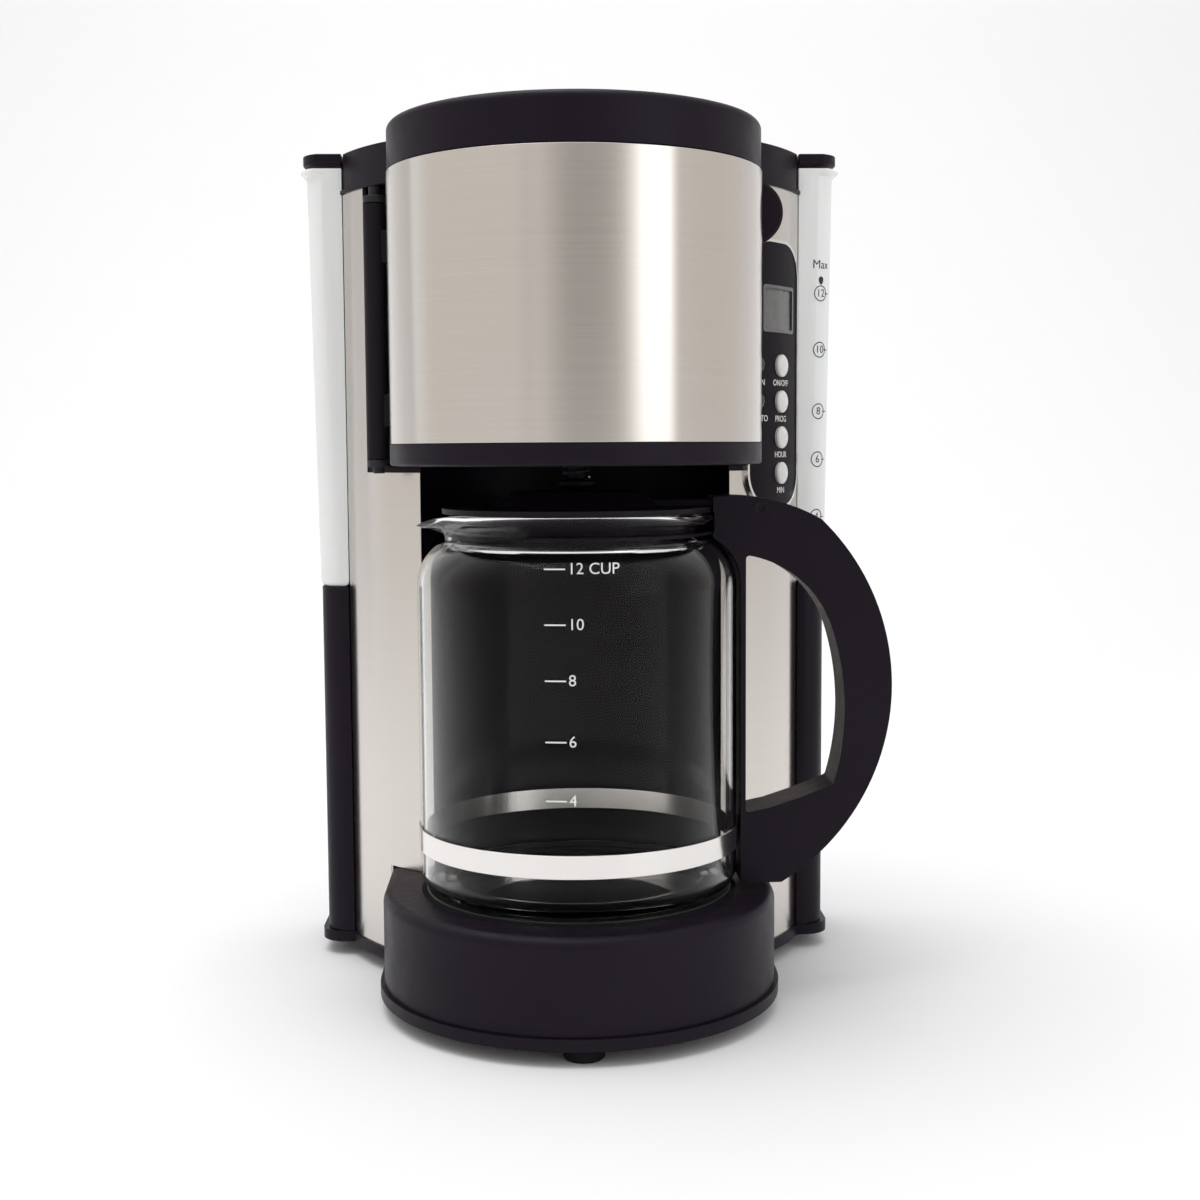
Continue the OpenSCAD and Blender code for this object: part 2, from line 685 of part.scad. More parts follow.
module tank_lid() color("#232126") placed() difference() {
    union() {
        translate([0, 0, z_tank_rim + 0.2]) linear_extrude(lid_t - 0.2) tank_rim_plan(rim_out - lid_in);
        translate([-knuckle_x + knuckle_w / 2 + 0.5, tank_back - 2, z_tank_rim + 0.4])
            cube([2 * knuckle_x - knuckle_w - 1, tank_hinge_y - tank_back + 2, 2]);
        translate([-knuckle_x + knuckle_w / 2 + 0.5, tank_hinge_y, tank_hinge_z])
            rotate([0, 90, 0]) cylinder(r = tank_hinge_r, h = 2 * knuckle_x - knuckle_w - 1);
    }
    for (side = [-1, 1]) translate([side * knuckle_x - knuckle_w / 2 - 0.5, tank_hinge_y,
        tank_hinge_z]) rotate([0, 90, 0]) cylinder(r = tank_hinge_r + 0.8, h = knuckle_w + 1);
    translate([-knuckle_x, tank_hinge_y, tank_hinge_z]) rotate([0, 90, 0])
        cylinder(r = tank_pin_r + fit_gap, h = 2 * knuckle_x);
}

module tank_lid_pin() color("silver") placed()
    translate([-knuckle_x - knuckle_w / 2, tank_hinge_y, tank_hinge_z]) rotate([0, 90, 0])
        cylinder(r = tank_pin_r, h = 2 * knuckle_x + knuckle_w);

// ---- Control panel ----------------------------------------------------------------------

// Curved layer that follows the body's front arc, between two radii
module front_layer(r_in, r_out) translate([0, arc_y, panel_z - panel_h]) difference() {
    cylinder(r = r_out, h = 2 * panel_h, $fn = 180);
    translate([0, 0, -1]) cylinder(r = r_in, h = 2 * panel_h + 2, $fn = 180);
}

module panel_holes() {
    for (z = button_z) on_front(button_phi, z) rotate([90, 0, 0])
        translate([0, 0, -20]) cylinder(r = button_r + slip, h = 40);
    for (i = [0, 1]) on_front(lamp_phi, button_z[i]) rotate([90, 0, 0])
        translate([0, 0, -20]) cylinder(r = lamp_r, h = 40);
    on_front(window_phi, window_z) front_prism(window_w + 3, window_h + 3, 1.5, 20, 20);
}

module control_panel() color("#1c1b20") placed() difference() {
    intersection() {
        on_front(panel_phi, panel_z) front_prism(panel_w, panel_h, panel_round, 12, 12);
        front_layer(arc_r - skin_t, arc_r + 1.4);
    }
    panel_holes();
}

module panel_trim_ring() color("whitesmoke") placed() intersection() {
    on_front(panel_phi, panel_z) difference() {
        front_prism(panel_w + 2 * panel_trim, panel_h + 2 * panel_trim, panel_round + panel_trim, 11, 11);
        front_prism(panel_w, panel_h, panel_round, 12, 12);
    }
    front_layer(arc_r - skin_t, arc_r + 1.9);
    // Stops at the hollow that the brew head swings out of
    difference() {
        translate([0, 0, z_base]) cylinder(r = 3 * arc_r, h = z_cap);
        translate([0, 0, z_ledge]) cylinder(r = recess_r, h = z_cap);
        translate([0, 0, z_base]) cylinder(r = bay_r, h = z_cap);
    }
}

module display_frame() color("lightgray") placed() intersection() {
    on_front(window_phi, window_z) difference() {
        front_prism(window_w + 3, window_h + 3, 1.5, 11, 11);
        front_prism(window_w, window_h, 1, 12, 12);
    }
    front_layer(arc_r - skin_t, arc_r + 1.6);
}

module display_window() color("gray", 0.5) placed() intersection() {
    on_front(window_phi, window_z) front_prism(window_w, window_h, 1, 11, 11);
    front_layer(arc_r, arc_r + 1);
}

module lcd_module() color("#8d938c") placed() on_front(window_phi, window_z)
    translate([-(window_w - 1) / 2, 1.2, -(window_h - 1) / 2])
        cube([window_w - 1, board_in - 1.6, window_h - 1]);

module indicator_lamps() color("honeydew") placed() for (i = [0, 1])
    on_front(lamp_phi, button_z[i]) rotate([90, 0, 0]) {
        translate([0, 0, -1.5]) cylinder(r = lamp_r - fit_gap, h = 3);
        translate([0, 0, -lamp_r * 0.6]) intersection() {
            sphere(r = lamp_r * 1.5);
            translate([0, 0, lamp_r]) cylinder(r = lamp_r - fit_gap, h = lamp_r);
        }
    }

module control_board() color("darkgreen") placed() on_front(button_phi + 1.5, panel_z)
    translate([-12, board_in, -48]) cube([24, board_t, 96]);

module power_board() color("darkgreen") placed()
    translate([-22, body_back - wall - board_t, z_base + 46]) cube([44, board_t, 44]);

// Push button: a short plunger with a domed face, -Y outwards on the front arc
module push_button(i) color("gainsboro") placed() on_front(button_phi, button_z[i])
    rotate([90, 0, 0]) rotate_extrude($fn = 64) {
        translate([0, -button_in]) square([button_r, button_in + 2.4]);
        translate([0, -button_in]) square([button_r + 1.2, 1.2]);
        intersection() {
            translate([0, 2.4 + 1.6 - 9]) circle(9);
            translate([0, 2]) square([button_r - 0.4, 3]);
        }
    }
module button_on_off() push_button(0);
module button_prog() push_button(1);
module button_hour() push_button(2);
module button_min() push_button(3);

// ---- Brew head --------------------------------------------------------------------------

module hinge_brackets() color("gray") placed() for (z = [z_ledge + 0.3, z_seam - 8])
    translate([0, 0, z]) difference() {
        union() {
            translate([hinge_x, hinge_y, 0]) cylinder(r = knuckle_r, h = bracket_t);
            translate([hinge_x - knuckle_r, hinge_y, 0])
                cube([2 * knuckle_r, pocket_y - hinge_y, bracket_t]);
        }
        translate([hinge_x, hinge_y, -1]) cylinder(r = hinge_pin_r, h = bracket_t + 2);
    }

module hinge_pin() color("silver") placed() translate([hinge_x, hinge_y, z_ledge - wall])
    cylinder(r = hinge_pin_r, h = z_seam - z_ledge - 1 + wall);

module basket_housing() color("#2b292e") placed() {
    knuckle_z0 = z_ledge + 0.3 + bracket_t + 0.5;
    knuckle_z1 = z_seam - 8 - 0.5;
    difference() {
        union() {
            translate([0, 0, z_wrap]) cylinder(r = bucket_r, h = wrap_h - 0.5, $fn = 144);
            translate([hinge_x, hinge_y, knuckle_z0])
                cylinder(r = knuckle_r, h = knuckle_z1 - knuckle_z0);
            for (z = [z_wrap + 8, z_seam - 34]) translate([hinge_x, hinge_y - 4, z])
                cube([-hinge_x - head_r + 14, 8, 14]);
        }
        translate([0, 0, z_wrap + 3]) cylinder(r = bucket_r - wall, h = wrap_h, $fn = 144);
        translate([0, 0, z_wrap - 1]) cylinder(r = outlet_r + 3, h = 6);
        translate([hinge_x, hinge_y, z_ledge]) cylinder(r = hinge_pin_r + fit_gap, h = 2 * wrap_h);
    }
    // Ledge that the filter basket's rim rests on
    translate([0, 0, basket_rim_z - 5]) tube(bucket_r - wall, head_r - 9, 3);
}

// Brushed steel wrap around the front of the head
module basket_wrap() color("silver") placed() translate([0, 0, z_wrap + 0.2])
    linear_extrude(wrap_h - 0.7) difference() {
        circle(head_r, $fn = 180);
        circle(bucket_r, $fn = 180);
        polygon([[0, 0], [-3 * head_r, 0.66 * head_r], [0, 3 * head_r], [3 * head_r, 0.12 * head_r]]);
    }

module basket_ring() color("#232126") placed() difference() {
    rotate_extrude($fn = 144) {
        translate([0, z_ring + 1.5]) square([head_r, ring_h - 1.5]);
        translate([0, z_ring]) square([head_r - 1.5, ring_h]);
        translate([head_r - 1.5, z_ring + 1.5]) circle(1.5, $fn = 32);
    }
    translate([0, 0, z_ring - 1]) cylinder(r = head_r - 8, h = 3);
    translate([0, 0, z_ring + 4]) cylinder(r = bucket_r - wall, h = ring_h);
    translate([0, 0, z_ring - 1]) cylinder(r = outlet_r + 5, h = ring_h + 2);
}

// Round thumb grip behind the right edge of the wrap
module basket_grip() color("#232126") placed() difference() {
    translate([grip_disc_x, 14, z_seam - 0.6 - grip_disc_r]) rotate([90, 0, 0]) {
        cylinder(r = grip_disc_r - 0.8, h = 6);
        translate([0, 0, 0.8]) cylinder(r = grip_disc_r, h = 4.4);
    }
    translate([0, 0, z_ring]) cylinder(r = bucket_r, h = z_cap, $fn = 144);
}

// Basket for the paper filter, with an outlet tube that holds the drip valve
module filter_basket() color("#1f1e22") placed() difference() {
    union() {
        rotate_extrude($fn = 120) polygon([[0, basket_z], [basket_foot_r, basket_z],
            [basket_r, basket_rim_z - 6], [basket_r, basket_rim_z - 2], [head_r - 5, basket_rim_z - 2],
            [head_r - 5, basket_rim_z], [0, basket_rim_z]]);
        translate([0, 0, z_wrap - 4]) cylinder(r = outlet_r + 2, h = basket_z - z_wrap + 5);
    }
    rotate_extrude($fn = 120) polygon([[0, basket_z + 2], [basket_foot_r - 2, basket_z + 2],
        [basket_r - 2, basket_rim_z - 5], [basket_r - 2, basket_rim_z + 1], [0, basket_rim_z + 1]]);
    translate([0, 0, z_wrap - 5]) cylinder(r = outlet_r - 0.5, h = 7);
    translate([0, 0, z_wrap - 5]) cylinder(r = 3.4, h = 20);
    for (i = [0 : 5]) rotate([0, 0, i * 60]) translate([6, 0, z_wrap - 5])
        cylinder(r = 1.6, h = 20, $fn = 24);
}

// Drip stop: the foot is lifted by the carafe's lid, which raises the plug off the outlet
module drip_valve() color("#2b292e") placed() {
    translate([0, 0, valve_z]) rotate_extrude($fn = 64) polygon([[0, 0], [5, 0], [8, 2], [8, 4],
        [3.3, 5], [3.3, basket_z + 3 - valve_z], [8, basket_z + 3 - valve_z],
        [8, basket_z + 5.5 - valve_z], [0, basket_z + 5.5 - valve_z]]);
}

module valve_seal() color("tomato") placed() translate([0, 0, basket_z + 2.1])
    tube(8, 3.3, 0.9);

// Point on the drip spring's helix, and the ring of points around the wire there
function helix(i) = let(a = 360 * i / spring_steps)
    [spring_r * cos(a), spring_r * sin(a), spring_z0 + spring_pitch * i / spring_steps];
function wire_ring(i) = let(a = 360 * i / spring_steps, c = helix(i))
    [for (k = [0 : 7]) c + spring_wire * [cos(k * 45) * cos(a), cos(k * 45) * sin(a), sin(k * 45)]];
module drip_spring() color("silver") placed() {
    count = spring_turns * spring_steps;
    points = [for (i = [0 : count]) each wire_ring(i)];
    sides = [for (i = [0 : count - 1], k = [0 : 7]) each [
        [8 * i + k, 8 * i + (k + 1) % 8, 8 * (i + 1) + (k + 1) % 8],
        [8 * i + k, 8 * (i + 1) + (k + 1) % 8, 8 * (i + 1) + k]]];
    polyhedron(points, concat([[for (k = [0 : 7]) 7 - k]], sides, [[for (k = [0 : 7]) 8 * count + k]]));
}

// ---- Carafe -----------------------------------------------------------------------------

// Outside of the glass in profile, pulled in by inset: foot, wall, shoulder, neck and rim
module glass_profile(inset) {
    foot = 8;
    r = carafe_r - inset;
    translate([0, inset]) square([r - foot + inset, foot]);
    translate([carafe_r - foot, foot]) circle(foot - inset, $fn = 48);
    translate([0, foot]) square([r, shoulder_z - foot]);
    translate([carafe_r - shoulder_r, shoulder_z]) circle(shoulder_r - inset, $fn = 96);
    translate([0, shoulder_z]) square([carafe_r - shoulder_r, shoulder_r - inset]);
    translate([0, shoulder_z]) square([neck_r - inset, carafe_h - shoulder_z - (inset > 0 ? -1 : 1)]);
}

module carafe_glass() color("azure", 0.35) placed() translate([0, 0, z_glass]) difference() {
    union() {
        rotate_extrude($fn = 144) {
            glass_profile(0);
            polygon([[neck_r - 1, carafe_h - 9], [neck_r, carafe_h - 8], [rim_r - 2, carafe_h - 3.5],
                [rim_r - 2, carafe_h], [neck_r - 1, carafe_h]]);
            translate([rim_r - 2.2, carafe_h - 2.2]) circle(2.2, $fn = 32);
        }
        spout(0);
    }
    rotate_extrude($fn = 144) {
        difference() {
            glass_profile(glass_t);
            translate([-1, 0]) square([carafe_r, 4]);
        }
        polygon([[0, carafe_h - 8], [neck_r - glass_t, carafe_h - 8],
            [rim_r - 4.4, carafe_h - 2], [rim_r - 4.4, carafe_h + 1], [0, carafe_h + 1]]);
    }
    spout(glass_t);
}

// Pouring lip on the far side from the handle
module spout(inset) hull() {
    translate([-(neck_r + spout_reach - 4), 0, carafe_h - 5.5 + inset])
        cylinder(r = 3.5 - inset * 0.7, h = 3.5 + inset, $fn = 32);
    translate([-neck_r + 12, 0, carafe_h - 3]) scale([1, 1.5, 1])
        cylinder(r = 14 - inset, h = 3 + (inset > 0 ? 1 : -0.5), $fn = 32);
    translate([-neck_r + 9, 0, carafe_h - 17]) cylinder(r = 9 - inset, h = 1, $fn = 32);
}

module carafe_band() color("whitesmoke") placed() translate([0, 0, z_glass + band_up])
    difference() {
        union() {
            tube(carafe_r + band_t, carafe_r, band_h);
            // Folded ends that reach into the handle's foot
            for (side = [-1, 1]) translate([carafe_r + band_t - 0.2, side * 1.8 - 0.5, 0])
                cube([10, 1, band_h]);
        }
        translate([carafe_r + 7, -5, band_h / 2]) rotate([-90, 0, 0])
            cylinder(r = 1.5 + fit_gap, h = 10);
    }

module band_screw() color("silver") placed()
    translate([carafe_r + 7, handle_w / 2 - 3, z_glass + band_up + band_h / 2])
        rotate([90, 0, 0]) {
            cylinder(r = 1.5, h = handle_w - 6);
            cylinder(r = 3, h = 2);
        }

// Side view of the handle: x is the distance from the brew axis, y the height
module handle_plan() {
    outer_r = 0.62 * carafe_h;
    crown_r = 75;
    inner_r = 0.714 * carafe_h;
    corner_r = 46;
    mid_z = z_glass + 0.534 * carafe_h;
    top_z = z_rim + 7.2;
    foot_z = z_glass + 1;
    inner_x = handle_x - grip_d;
    difference() {
        intersection() {
            translate([handle_x - outer_r, mid_z]) circle(outer_r, $fn = 180);
            union() {
                translate([carafe_r - 2.5, top_z - crown_r]) circle(crown_r, $fn = 180);
                translate([0, foot_z]) square([handle_x, top_z - crown_r - foot_z]);
            }
            union() {
                translate([spine_x, foot_z]) square([handle_x, top_z]);
                translate([rim_r - 1.5, z_glass + shoulder_z]) square([handle_x, top_z]);
            }
        }
        // Opening for the fingers
        offset(r = 1.5, $fn = 32) offset(delta = -1.5) intersection() {
            offset(r = corner_r, $fn = 120) offset(delta = -corner_r) intersection() {
                translate([inner_x - inner_r, mid_z - 10]) circle(inner_r, $fn = 180);
                translate([-handle_x, -carafe_h]) square([3 * handle_x, z_rim - 17.5 + carafe_h]);
            }
            polygon([[spine_x + 2.2, z_glass + 31.5], [spine_x + 12.6, z_glass + 33.7],
                [spine_x + 26, z_glass + 38.1], [inner_x, z_glass + 45.5], [handle_x, z_rim],
                [spine_x + 2.2, z_rim]]);
        }
        // Room for the glass
        translate([0, z_glass]) glass_profile(-glass_gap);
    }
}

module carafe_handle() color("#26242a") placed() difference() {
    rotate([90, 0, 0]) translate([0, 0, -handle_w / 2]) linear_extrude(handle_w) handle_plan();
    // Slot between the two cheeks for the lid's arm
    translate([rim_r - 2, -6.4, z_rim - 5]) cube([lid_pin_x - rim_r + 9, 12.8, 20]);
    translate([lid_pin_x, handle_w, lid_pin_z]) rotate([90, 0, 0])
        cylinder(r = lid_pin_r + fit_gap, h = 2 * handle_w);
    translate([0, 0, z_rim - 9]) cylinder(r = rim_r + 0.3, h = 9.4, $fn = 144);
    translate([neck_r, -9.1, z_rim - 9.5]) cube([rim_r + 6.1 - neck_r, 18.2, 1.4]);
    translate([0, 0, z_glass + band_up - 0.5])
        cylinder(r = carafe_r + band_t + 0.1, h = band_h + 1, $fn = 144);
    translate([carafe_r - 1, -2.6, z_glass + band_up - 0.4]) cube([12.2, 5.2, band_h + 0.8]);
    translate([carafe_r + 7, handle_w / 2 + 1, z_glass + band_up + band_h / 2]) rotate([90, 0, 0]) {
        cylinder(r = 1.5 + fit_gap, h = handle_w - 2);
        cylinder(r = 3.1, h = 6.1);
    }
}

// Collar under the rim that grips the neck and carries the handle's head
module carafe_collar() color("#26242a") placed() difference() {
    union() {
        translate([0, 0, z_rim - 9.4]) tube(neck_r + 2.2, neck_r + 0.05, 1.3);
        translate([neck_r, -9, z_rim - 9.4]) cube([rim_r + 6 - neck_r, 18, 1.3]);
    }
    translate([0, 0, z_rim - 12]) cylinder(r = neck_r + 0.05, h = 20);
    // Open under the pouring lip
    translate([-2 * neck_r, -neck_r, z_rim - 12]) cube([1.6 * neck_r, 2 * neck_r, 10]);
}

module carafe_lid() color("#232126") placed() difference() {
    union() {
        rotate_extrude($fn = 144) {
            translate([0, z_rim + 0.2]) square([rim_r - 1.5, 2.4]);
            translate([0, z_rim - 10]) square([neck_r - glass_t - 0.8, 11]);
            polygon([[0, z_rim + 2], [36, z_rim + 2], [28, z_rim + lid_top], [0, z_rim + lid_top]]);
        }
        translate([10, -6, z_rim + 0.8]) cube([lid_pin_x - 10, 12, 4.8]);
        translate([lid_pin_x, 6, lid_pin_z]) rotate([90, 0, 0]) cylinder(r = 3.8, h = 12);
    }
    translate([0, 0, z_rim - 11]) cylinder(r = neck_r - glass_t - 3.2, h = 9.5);
    // Funnel that lets the coffee through
    for (i = [0 : 4]) rotate([0, 0, i * 72]) translate([10, 0, z_rim - 12]) cylinder(r = 2.5, h = 40);
    translate([lid_pin_x, handle_w, lid_pin_z]) rotate([90, 0, 0])
        cylinder(r = lid_pin_r, h = 2 * handle_w);
}

module lid_pin() color("silver") placed() translate([lid_pin_x, handle_w / 2 - 1, lid_pin_z])
    rotate([90, 0, 0]) cylinder(r = lid_pin_r, h = handle_w - 2);

rubber_feet();
base_plate();
base_screws();
base_drum();
hot_plate();
plate_seal();
heat_spreader();
heating_element();
element_clamp();
clamp_bolt();
thermostat();
thermal_fuse();
tower_shell();
left_panel();
right_panel();
back_panel();
rear_housing();
cord_gland();
cord_cleat();
top_cover();
cap_liner();
shower_head();
riser_tube();
inlet_tube();
check_valve();
water_tank();
tank_outlet_seal();
tank_lid();
tank_lid_pin();
control_panel();
panel_trim_ring();
display_frame();
display_window();
lcd_module();
indicator_lamps();
control_board();
power_board();
button_on_off();
button_prog();
button_hour();
button_min();
hinge_brackets();
hinge_pin();
basket_housing();
basket_wrap();
basket_ring();
basket_grip();
filter_basket();
drip_valve();
valve_seal();
drip_spring();
carafe_glass();
carafe_band();
band_screw();
carafe_handle();
carafe_collar();
carafe_lid();
lid_pin();
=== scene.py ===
"""Looks of the drip coffee maker: materials, rounded edges, glass, prints, light and camera."""
import json
import math

import bmesh
import bpy
from mathutils import Matrix, Vector

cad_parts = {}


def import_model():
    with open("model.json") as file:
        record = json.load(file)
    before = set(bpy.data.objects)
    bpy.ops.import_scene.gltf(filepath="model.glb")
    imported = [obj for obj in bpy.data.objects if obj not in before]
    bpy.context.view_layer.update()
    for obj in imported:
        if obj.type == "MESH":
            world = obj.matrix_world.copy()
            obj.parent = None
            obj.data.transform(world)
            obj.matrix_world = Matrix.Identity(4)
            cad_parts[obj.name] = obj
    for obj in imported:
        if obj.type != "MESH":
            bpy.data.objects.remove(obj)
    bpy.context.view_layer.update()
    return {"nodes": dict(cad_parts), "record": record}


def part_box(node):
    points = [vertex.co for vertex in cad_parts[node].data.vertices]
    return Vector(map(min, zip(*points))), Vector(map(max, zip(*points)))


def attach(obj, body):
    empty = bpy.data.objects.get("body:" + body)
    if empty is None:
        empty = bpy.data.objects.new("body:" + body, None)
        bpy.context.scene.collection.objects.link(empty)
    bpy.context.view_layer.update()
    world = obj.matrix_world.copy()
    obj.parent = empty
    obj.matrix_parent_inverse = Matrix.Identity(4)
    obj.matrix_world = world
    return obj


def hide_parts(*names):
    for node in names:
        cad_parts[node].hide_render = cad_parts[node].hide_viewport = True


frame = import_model()
MM = 0.001


# ---- Sizes taken from the frame ------------------------------------------------------------

def middle(node):
    """The middle of a node's box."""
    low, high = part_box(node)
    return (Vector(low) + Vector(high)) / 2


AXIS = Vector((middle("hot_plate").x, middle("hot_plate").y, 0))
GLASS_LOW, GLASS_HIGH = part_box("carafe_glass")
GLASS_Z = GLASS_LOW[2]
GLASS_R = GLASS_HIGH[1] - AXIS.y
TANK_LOW, TANK_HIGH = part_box("water_tank")
BODY_LOW, BODY_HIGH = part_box("tower_shell")

# The body's bowed front: an arc whose ends meet the flat sides
BODY_HALF = (BODY_HIGH[0] - BODY_LOW[0]) / 2
BOW_ANGLE = math.radians(65.5)
BOW_R = BODY_HALF / math.sin(BOW_ANGLE)
BOW_Y = AXIS.y + 0.3 * MM + BOW_R
PANEL_ANGLE = math.radians(54)
LAMP_ANGLE = math.radians(45.7)


def on_bow(angle, z, out=0.0):
    """A point over the body's bowed front; the angle runs from the front towards +X."""
    r = BOW_R + out
    return Vector((AXIS.x + r * math.sin(angle), BOW_Y - r * math.cos(angle), z))


# ---- Materials -----------------------------------------------------------------------------

class Nodes:
    """A new node material with one Principled shader, and short ways to add to it."""

    def __init__(self, name, **settings):
        self.material = bpy.data.materials.new(name)
        self.material.use_nodes = True
        self.tree = self.material.node_tree
        self.shader = self.tree.nodes["Principled BSDF"]
        for key, value in settings.items():
            self.shader.inputs[key.replace("_", " ")].default_value = value
        self.place = self.tree.nodes.new("ShaderNodeTexCoord").outputs["Object"]

    def link(self, start, end):
        self.tree.links.new(start, end)

    def scaled(self, scale):
        node = self.tree.nodes.new("ShaderNodeMapping")
        node.inputs["Scale"].default_value = scale
        self.link(self.place, node.inputs["Vector"])
        return node.outputs["Vector"]

    def noise(self, scale, size=1.0, detail=3.0, roughness=0.55):
        node = self.tree.nodes.new("ShaderNodeTexNoise")
        node.inputs["Scale"].default_value = size
        node.inputs["Detail"].default_value = detail
        node.inputs["Roughness"].default_value = roughness
        self.link(self.scaled(scale), node.inputs["Vector"])
        return node.outputs["Fac"]

    def spread(self, value, low, high, start=0.3, stop=0.7):
        node = self.tree.nodes.new("ShaderNodeMapRange")
        node.inputs["From Min"].default_value = start
        node.inputs["From Max"].default_value = stop
        node.inputs["To Min"].default_value = low
        node.inputs["To Max"].default_value = high
        self.link(value, node.inputs["Value"])
        return node.outputs["Result"]

    def tint(self, value, low, high):
        node = self.tree.nodes.new("ShaderNodeMix")
        node.data_type = "RGBA"
        node.inputs["A"].default_value = (*low, 1)
        node.inputs["B"].default_value = (*high, 1)
        self.link(value, node.inputs["Factor"])
        return node.outputs["Result"]

    def bump(self, value, depth, strength=1.0):
        node = self.tree.nodes.new("ShaderNodeBump")
        node.inputs["Distance"].default_value = depth
        node.inputs["Strength"].default_value = strength
        self.link(value, node.inputs["Height"])
        last = self.shader.inputs["Normal"]
        if last.is_linked:
            self.link(last.links[0].from_socket, node.inputs["Normal"])
        self.link(node.outputs["Normal"], last)


def moulded(name, colour, rough, grain=0.00002, grain_size=1800, gloss=0.12):
    """Moulded plastic: fine spark-eroded grain, slow variation in shade and gloss, faint dust."""
    m = Nodes(name, Base_Color=(*colour, 1), Roughness=rough, Specular_IOR_Level=gloss)
    slow = m.noise((1, 1, 1), 14, 4)
    brighter = tuple(c * 1.35 + 0.002 for c in colour)
    m.link(m.tint(slow, colour, brighter), m.shader.inputs["Base Color"])
    fine = m.noise((1, 1, 1), 90, 5, 0.7)
    m.link(m.spread(fine, rough - 0.05, rough + 0.07), m.shader.inputs["Roughness"])
    m.bump(m.noise((1, 1, 1), grain_size, 2), grain, 0.6)
    return m.material


def brushed(name, colour, rough, stretch=0.85, depth=0.000004):
    """Brushed steel: fine scratches that run level around every upright face."""
    m = Nodes(name, Metallic=1.0, Roughness=rough, Anisotropic=stretch, Anisotropic_Rotation=0.25)
    hair = m.noise((7, 7, 7500), 1, 2, 0.6)
    wisps = m.noise((5, 5, 2600), 1, 3, 0.6)
    darker = tuple(c * 0.965 for c in colour)
    lighter = tuple(min(1, c * 1.02) for c in colour)
    m.link(m.tint(m.spread(hair, 0, 1), darker, lighter), m.shader.inputs["Base Color"])
    m.link(m.spread(wisps, rough - 0.015, rough + 0.02), m.shader.inputs["Roughness"])
    m.bump(hair, depth, 0.12)
    tangent = m.tree.nodes.new("ShaderNodeTangent")
    tangent.direction_type = "RADIAL"
    tangent.axis = "Z"
    m.link(tangent.outputs["Tangent"], m.shader.inputs["Tangent"])
    return m.material


def plain_metal(name, colour, rough, scratch=0.000008):
    """Bare or plated metal with fine random scratches and smudges."""
    m = Nodes(name, Base_Color=(*colour, 1), Metallic=1.0, Roughness=rough)
    smudge = m.noise((1, 1, 1), 60, 5, 0.65)
    m.link(m.spread(smudge, max(0.03, rough - 0.05), rough + 0.08), m.shader.inputs["Roughness"])
    darker = tuple(c * 0.9 for c in colour)
    m.link(m.tint(m.spread(smudge, 0, 1), darker, colour), m.shader.inputs["Base Color"])
    m.bump(m.noise((1, 1, 1), 1500, 3), scratch, 0.4)
    return m.material


def clear_glass(name, colour, rough=0.0, ripple=0.00002, shine=1.0):
    """Clear glass with a slow ripple and faint smears; shine is the share of its reflection kept, and a
    shine below 1 is painted shade that dims the reflection.
    """
    m = Nodes(name, Base_Color=(*colour, 1), Roughness=rough, IOR=1.47, Transmission_Weight=1.0,
              Specular_Tint=(shine, shine, shine, 1))
    m.link(m.spread(m.noise((1, 1, 0.4), 18, 3), rough, rough + 0.006, 0.45, 0.8),
           m.shader.inputs["Roughness"])
    m.bump(m.noise((1, 1, 0.35), 9, 1), ripple, 0.15)
    return m.material


def milky(name, colour, rough, clear):
    """Translucent moulded plastic, a little cloudy inside."""
    m = Nodes(name, Base_Color=(*colour, 1), Roughness=rough, IOR=1.49, Transmission_Weight=clear,
              Specular_IOR_Level=0.45, Subsurface_Weight=0.25, Subsurface_Scale=0.004)
    cloud = m.noise((1, 1, 0.5), 22, 4)
    dim = tuple(c * 0.97 for c in colour)
    m.link(m.tint(cloud, dim, colour), m.shader.inputs["Base Color"])
    m.link(m.spread(m.noise((1, 1, 1), 120, 4), rough - 0.05, rough + 0.05),
           m.shader.inputs["Roughness"])
    m.bump(m.noise((1, 1, 1), 700, 3), 0.00002, 0.5)
    return m.material


def ink(name, colour, rough=0.45):
    """Screen-printed ink with slightly uneven cover."""
    m = Nodes(name, Base_Color=(*colour, 1), Roughness=rough)
    cover = m.noise((1, 1, 1), 2600, 3)
    m.link(m.tint(cover, tuple(c * 0.85 for c in colour), colour), m.shader.inputs["Base Color"])
    m.bump(cover, 0.00001, 0.3)
    return m.material


